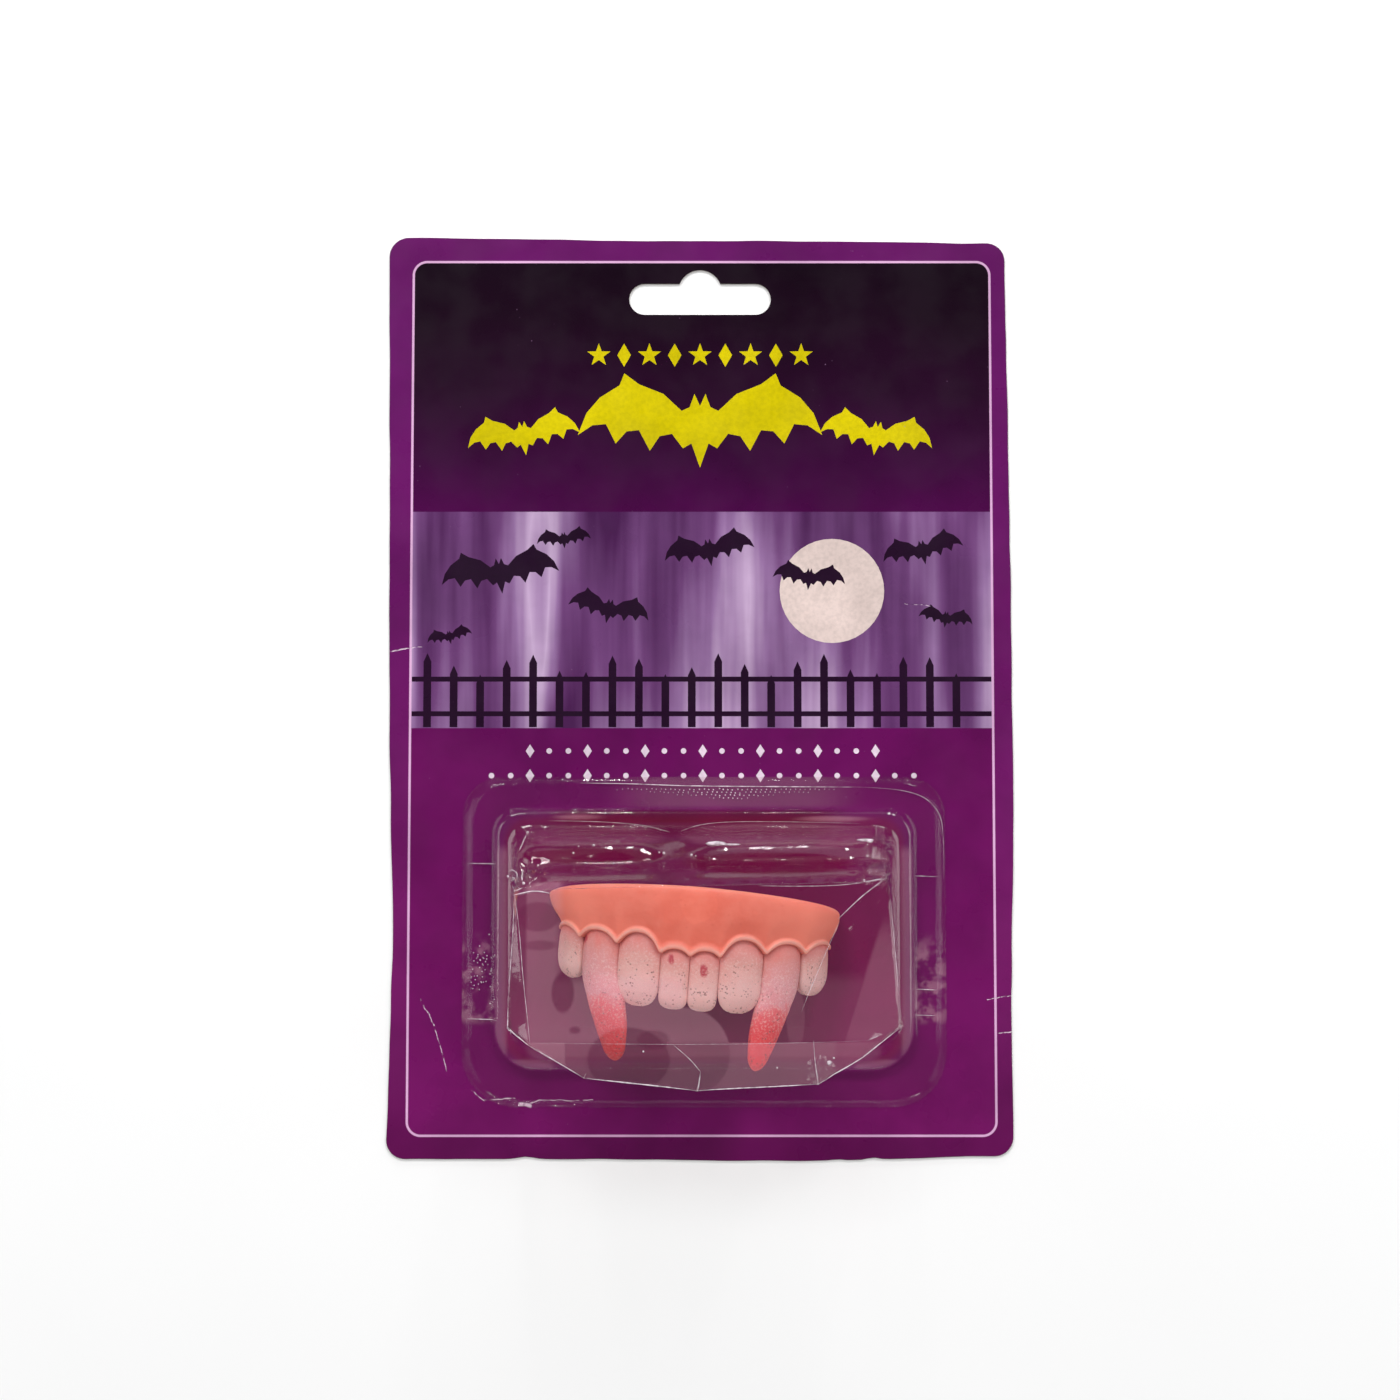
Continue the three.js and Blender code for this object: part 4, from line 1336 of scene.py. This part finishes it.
def rim_stress(rings, corners, rim):
    """Welts along the face's rim and down the wall from its corners: points and half width."""
    count = rings.shape[1]
    welts = []
    for start, end, half_width in RIM_WELTS:
        first = corners[start]
        last = corners[end] if end < len(corners) else count
        welts.append((rings[rim + 1, np.arange(first, last + 1) % count], half_width))
    for corner, rows, half_width in CORNER_WELTS:
        welts.append((rings[rim - rows : rim + 1, corners[corner]], half_width))
    return welts


def seal_dots():
    """Small dots that the heat seal has pressed into the flange's upper edge."""
    dots = []
    z = FILM_BASE + FILM
    for row in range(4):
        half = 24 - 6.5 * row
        for x in np.arange(-half, half, 1.05):
            jitter = noise.noise(Vector((2.3 * x, row, 2.0)))
            size = SEAL_DOT * (1 - 0.5 * abs(x) / half)
            across = x + 6 + 0.5 * (row % 2) + 0.5 * jitter
            dots.append((across, -19.6 - 0.62 * row + 0.4 * jitter, z + 0.02, size))
    for k in range(46):
        spread = [noise.noise(Vector((0.71 * k, seed, 0.5))) for seed in (1.5, 4.5)]
        dots.append((-47.6 + 5 * spread[0], -57.5 + 12 * spread[1], z + 0.03, SEAL_DOT * 0.8))
    return dots


def glint_dots(surface):
    """Small white dots painted as glints on the face and the upper wall."""
    dots = []
    for x, y, radius, *longer in PAINTED_GLINTS:
        hit = surface.ray_cast(Vector((x, y, 60)), Vector((0, 0, -1)))[0]
        dots.append((x, y, hit.z + 0.3 * radius, radius, *longer))
    return dots


def build_stress_and_glints(material, film, rings, corners, rim):
    """White creases, seal dots and painted glints on the film."""
    points = [v.co / MM for v in film.data.vertices]
    surface = BVHTree.FromPolygons(points, [p.vertices[:] for p in film.data.polygons])
    pieces = []
    for points, half_width in rim_stress(rings, corners, rim):
        pieces.append(tube(points, half_width))
    for path, half_width in FACE_STRESS + FLANGE_STRESS:
        line = []
        for x, y in spline(path, 10) if len(path) > 2 else np.linspace(path[0], path[1], 12):
            hit = surface.ray_cast(Vector((x, y, 60)), Vector((0, 0, -1)))[0]
            if hit:
                line.append(tuple(hit + Vector((0, 0, 0.03))))
        pieces.append(tube(line, half_width))
    pieces += [dot(*place) for place in seal_dots() + glint_dots(surface)]
    vertices, faces = [], []
    for some, cells in pieces:
        faces += [tuple(i + len(vertices) for i in cell) for cell in cells]
        vertices += list(some)
    return mesh_object("film_creases_and_glints", vertices, faces, [material])


def oval(graph, middle, reach, outside=0.0, inside=1.0):
    """A step from outside to inside an upright oval on the card."""
    off = graph.vector("DIVIDE", graph.vector("SUBTRACT", graph.mm, (*middle, 0)), (*reach, 1))
    off = graph.vector("LENGTH", graph.vector("MULTIPLY", off, (1, 1, 0)))
    soft = 0.35 / min(reach)
    return graph.span(off, 1 - soft, 1 + soft, inside, outside)


def spread(graph, places):
    """The strongest of several ovals, each a middle, a reach and a strength."""
    most = None
    for middle, reach, strength in places:
        one = oval(graph, middle, reach, 0.0, strength)
        most = one if most is None else graph.most(most, one)
    return most


def film_reflection_veil(graph, x, y):
    """How strong the painted reflection haze on the front face is at a place, 1 on its plain left side."""
    inner = graph.span(x, -35.8, -34.8, 0.25, 1.0)
    end_x = VEIL_END[0][0]
    round_end = graph.most(oval(graph, *VEIL_END), graph.fade(x, end_x - 1, end_x))
    left = graph.fade(x, -30, -27)
    above = graph.most(left, graph.fade(y, -60, -56))
    above = graph.times(above, graph.plus(graph.times(round_end, 0.75), 0.25))
    past_wedge = graph.minus(graph.times(x, 0.949), graph.times(y, 0.316))
    wedge = graph.span(past_wedge, 49.6, 50.6, 0.0, 0.55)
    wedge = graph.times(wedge, graph.fade(y, -52, -44))
    streak = oval(graph, STREAK_AT, STREAK_REACH, 0.0, 0.5)
    above = graph.times(graph.most(above, wedge, streak), inner)
    strip = graph.span(y, -74.4, -73.4, 0.0, 0.35)
    corner = graph.span(x, -27.7, -27.2, 0.8, 0.0)
    beyond = graph.times(graph.minus(1.0, round_end), 0.35)
    beyond = graph.times(beyond, graph.fade(x, 27, 28))
    below = graph.plus(graph.plus(strip, corner), graph.plus(beyond, 0.66))
    veil = graph.span(y, LOW_CREASE - 0.2, LOW_CREASE + 0.2)
    veil = graph.plus(below, graph.times(veil, graph.minus(above, below)))
    for middle, reach, left_over in VEIL_GAPS:
        veil = graph.times(veil, oval(graph, middle, reach, 1.0, left_over))
    return veil


def film_dents(graph):
    """The normal of slightly uneven film, creased where it is crumpled."""
    crinkle = None
    for middle, reach, _ in CRUMPLES:
        near = graph.fade(graph.vector("DISTANCE", graph.mm, middle), 0.4 * reach, reach)
        crinkle = near if crinkle is None else graph.most(crinkle, near)
    dents = graph.bump(graph.noise(6, 2), 0.12)
    creased = graph.times(graph.noise(1.7, 2, 0.4, offset=4), crinkle)
    return graph.bump(creased, 1.6, dents)


def film_haze(graph, x, y, height, sealed, raised):
    """The share of light that the film scatters: seal marks, a painted sheen on the ledge, painted
    reflection haze on the face and painted gleams on the upper wall.
    """
    across = graph.absolute(graph.minus(x, BUBBLE_MIDDLE))
    patch = graph.times(graph.span(y, -71, -69), graph.fade(y, -56, -50))
    patch = graph.times(graph.times(sealed, graph.span(across, 44, 46)), patch)
    cloudy = graph.times(patch, graph.span(graph.noise(3.2, 4, 0.65), 0.46, 0.62, 0.0, 0.1))
    crown = graph.span(graph.absolute(graph.minus(x, 8)), 14, 30, 0.035, 0.0)
    crown = graph.times(graph.span(y, -24.2, -22.6), crown)
    cloudy = graph.plus(cloudy, graph.times(crown, sealed))
    # Painted sheen: the ledge is lighter at its sides and lower corners
    sides = graph.times(graph.span(across, 42, 43.4), graph.fade(y, -34, -31))
    lower = graph.times(graph.span(across, 31, 34), graph.fade(y, -78.4, -77.4))
    ledge_sheen = graph.times(graph.most(sides, lower), raised)
    over_ledge = graph.span(height, LEDGE_HEIGHT + 1.0, LEDGE_HEIGHT + 1.8, 0.06, 0.0)
    ledge_sheen = graph.times(ledge_sheen, over_ledge)
    painted_reflection = graph.times(film_reflection_veil(graph, x, y), graph.span(height, 23.6, 24.2, 0.0, PAINTED_REFLECTION_HAZE))
    painted_reflection = graph.plus(painted_reflection, graph.times(raised, spread(graph, WALL_PAINTED_GLEAMS)))
    return graph.plus(cloudy, ledge_sheen, graph.plus(painted_reflection, 0.001))


def film_material():
    """Clear film: it mirrors more at grazing angles, less where it is sealed to the card."""
    graph = Graph("clear_film")
    x, y, height = (graph.part(graph.mm, axis) for axis in "XYZ")
    sealed = graph.fade(height, FILM_BASE + FILM + 0.1, FILM_BASE + FILM + 0.4)
    raised = graph.minus(1.0, sealed)
    dents = film_dents(graph)
    weight = graph.nodes.new("ShaderNodeLayerWeight")
    graph.put(weight.inputs["Normal"], dents)
    grazing = graph.math("POWER", weight.outputs["Facing"], 5.0)
    mirror = graph.plus(graph.times(grazing, 0.8), 0.03)
    mirror = graph.times(mirror, graph.minus(1.0, graph.times(sealed, 0.7)))
    gloss = graph.shader("ShaderNodeBsdfGlossy", Color=(1, 1, 1, 1), Roughness=0.07, Normal=dents)
    # Painted shade: the clear film is tinted dark crimson along the ledge's top and in the two wall bands,
    # and mirrors less in the bands
    middle_share = graph.span(graph.absolute(graph.plus(x, 1)), 24, 34, 0.7, 0.0)
    shaded = graph.times(raised, graph.span(y, -27.2, -26.3), middle_share)
    bands = spread(graph, WALL_BANDS)
    shaded = graph.most(shaded, bands)
    mirror = graph.times(mirror, graph.minus(1.0, graph.times(bands, 0.9)))
    tint = (0.995, 0.985, 0.985, 1)
    clear = graph.shader("ShaderNodeBsdfTransparent", Color=graph.mix(shaded, tint, (0.93, 0.6, 0.7, 1)))
    # Diffuse white for the seal marks and for the painted reflections and sheen
    haze_and_reflection = graph.shader("ShaderNodeBsdfDiffuse", Color=(1, 0.55, 0.67, 1))
    share = film_haze(graph, x, y, height, sealed, raised)
    return graph.done(graph.blend(mirror, graph.blend(share, clear, haze_and_reflection), gloss))


def crease_and_glint_material():
    """Film gone white where it is sharply folded, also used for the painted glints."""
    graph = Graph("film_creases_and_glints")
    clear = graph.shader("ShaderNodeBsdfTransparent", Color=(1, 1, 1, 1))
    white = graph.principled(Base_Color=linear(228, 216, 226), Roughness=0.3)
    broken = graph.span(graph.noise(1.3, 3), 0.34, 0.6, 0.35, 0.95)
    return graph.done(graph.blend(broken, clear, white))


# Stage

# Softboxes round the card, and three small lights whose reflections spark on the pillows
LIGHTS = table(
    "name place aim size power",
    ("key_left", (-340, 760, 760), (0, 0, 0), (340, 260), 4.5),
    ("key_right", (380, 760, 760), (0, 0, 0), (300, 240), 3.3),
    ("left_softbox", (-900, 150, 800), (0, 0, 0), (700, 900), 5.5),
    ("right_softbox", (900, 100, 800), (0, 0, 0), (700, 900), 5.5),
    ("top_softbox", (0, 1150, 620), (0, -30, 10), (1500, 600), 1.6),
    ("low_softbox", (0, -1300, 450), (0, 0, 0), (1000, 400), 2.6),
    ("spark", (-79, 1000, 350), (0, -30, 15), (32, 150), 1.0),
    ("spark", (67, 1000, 350), (0, -30, 15), (32, 150), 0.3),
    ("spark", (256, 1000, 350), (0, -30, 15), (32, 150), 0.9),
)
FLOOR_REACH = 1600


def add_light(name, place, aim, size, power):
    light = bpy.data.lights.new(name, "AREA")
    light.shape = "RECTANGLE"
    light.size, light.size_y = size[0] * MM, size[1] * MM
    light.energy = power
    shown = bpy.data.objects.new(name, light)
    shown.location = Vector(place) * MM
    shown.rotation_euler = (Vector(aim) - Vector(place)).to_track_quat("-Z", "Y").to_euler()
    bpy.context.scene.collection.objects.link(shown)
    return shown


def build_stage():
    graph = Graph("studio_floor")
    tone = graph.mix(graph.span(graph.noise(120, 2), 0.3, 0.7), (0.93, 0.93, 0.93, 1), (0.95, 0.95, 0.95, 1))
    floor_finish = graph.done(graph.principled(Base_Color=tone, Roughness=0.9))
    corners = [(x, y, -0.02) for x, y in bar(-FLOOR_REACH, FLOOR_REACH, -FLOOR_REACH, FLOOR_REACH)]
    floor = mesh_object("floor", corners, [(0, 1, 2, 3)], [floor_finish])
    world = bpy.data.worlds.new("studio")
    world.use_nodes = True
    world.node_tree.nodes["Background"].inputs["Color"].default_value = (1, 1, 1, 1)
    world.node_tree.nodes["Background"].inputs["Strength"].default_value = 0.16
    bpy.context.scene.world = world
    bpy.context.scene.view_settings.view_transform = "Standard"
    for light in LIGHTS:
        add_light(**light)


def build_camera():
    camera = bpy.data.cameras.new("camera")
    camera.sensor_width = SENSOR
    camera.lens = CAMERA_LENS
    camera.clip_start = 0.01
    shown = bpy.data.objects.new("camera", camera)
    back = Vector((0, -math.sin(CAMERA_TILT), math.cos(CAMERA_TILT))) * CAMERA_DISTANCE
    shown.location = back * MM
    shown.rotation_euler = (-back).to_track_quat("-Z", "Y").to_euler()
    bpy.context.scene.collection.objects.link(shown)
    bpy.context.scene.camera = shown


def dress():
    inks = [
        print_material(),
        flat_ink("night_ink", (34, 10, 36)),
        flat_ink("moon_ink", (222, 202, 196)),
        flat_ink("yellow_ink", (208, 191, 2)),
        flat_ink("white_ink", (222, 204, 220)),
        board_material(),
    ]
    card = build_card(inks)
    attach(card, "root")
    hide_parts("backing_card")

    gum = build_gum(gum_material())
    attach(gum, "root")
    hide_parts("gum_base")

    enamel = tooth_material("tooth_vinyl", TOOTH_INK)
    bloody = {}
    # The left fang's copy of the finish carries the painted shade at its tip
    for side, tip in FANG_TIPS_AND_SHADE.items():
        name = f"fang_vinyl_{'left' if side < 0 else 'right'}"
        bloody[side] = tooth_material(name, FANG_INK + [(0.84, tip)], 0.2)
    for tooth in TEETH:
        fang = tooth["name"] == "fang"
        for side, word in ((-1, "left"), (1, "right")):
            crown = build_crown(tooth, side, bloody[side] if fang else enamel)
            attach(crown, "root")
            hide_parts(f"fang_{word}" if fang else f"tooth_{tooth['name']}_{word}")

    film, rings, corners, rim = build_film(film_material())
    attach(film, "root")
    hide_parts("blister")
    creases = build_stress_and_glints(crease_and_glint_material(), film, rings, corners, rim)
    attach(creases, "root")


build_camera()
build_stage()
dress()
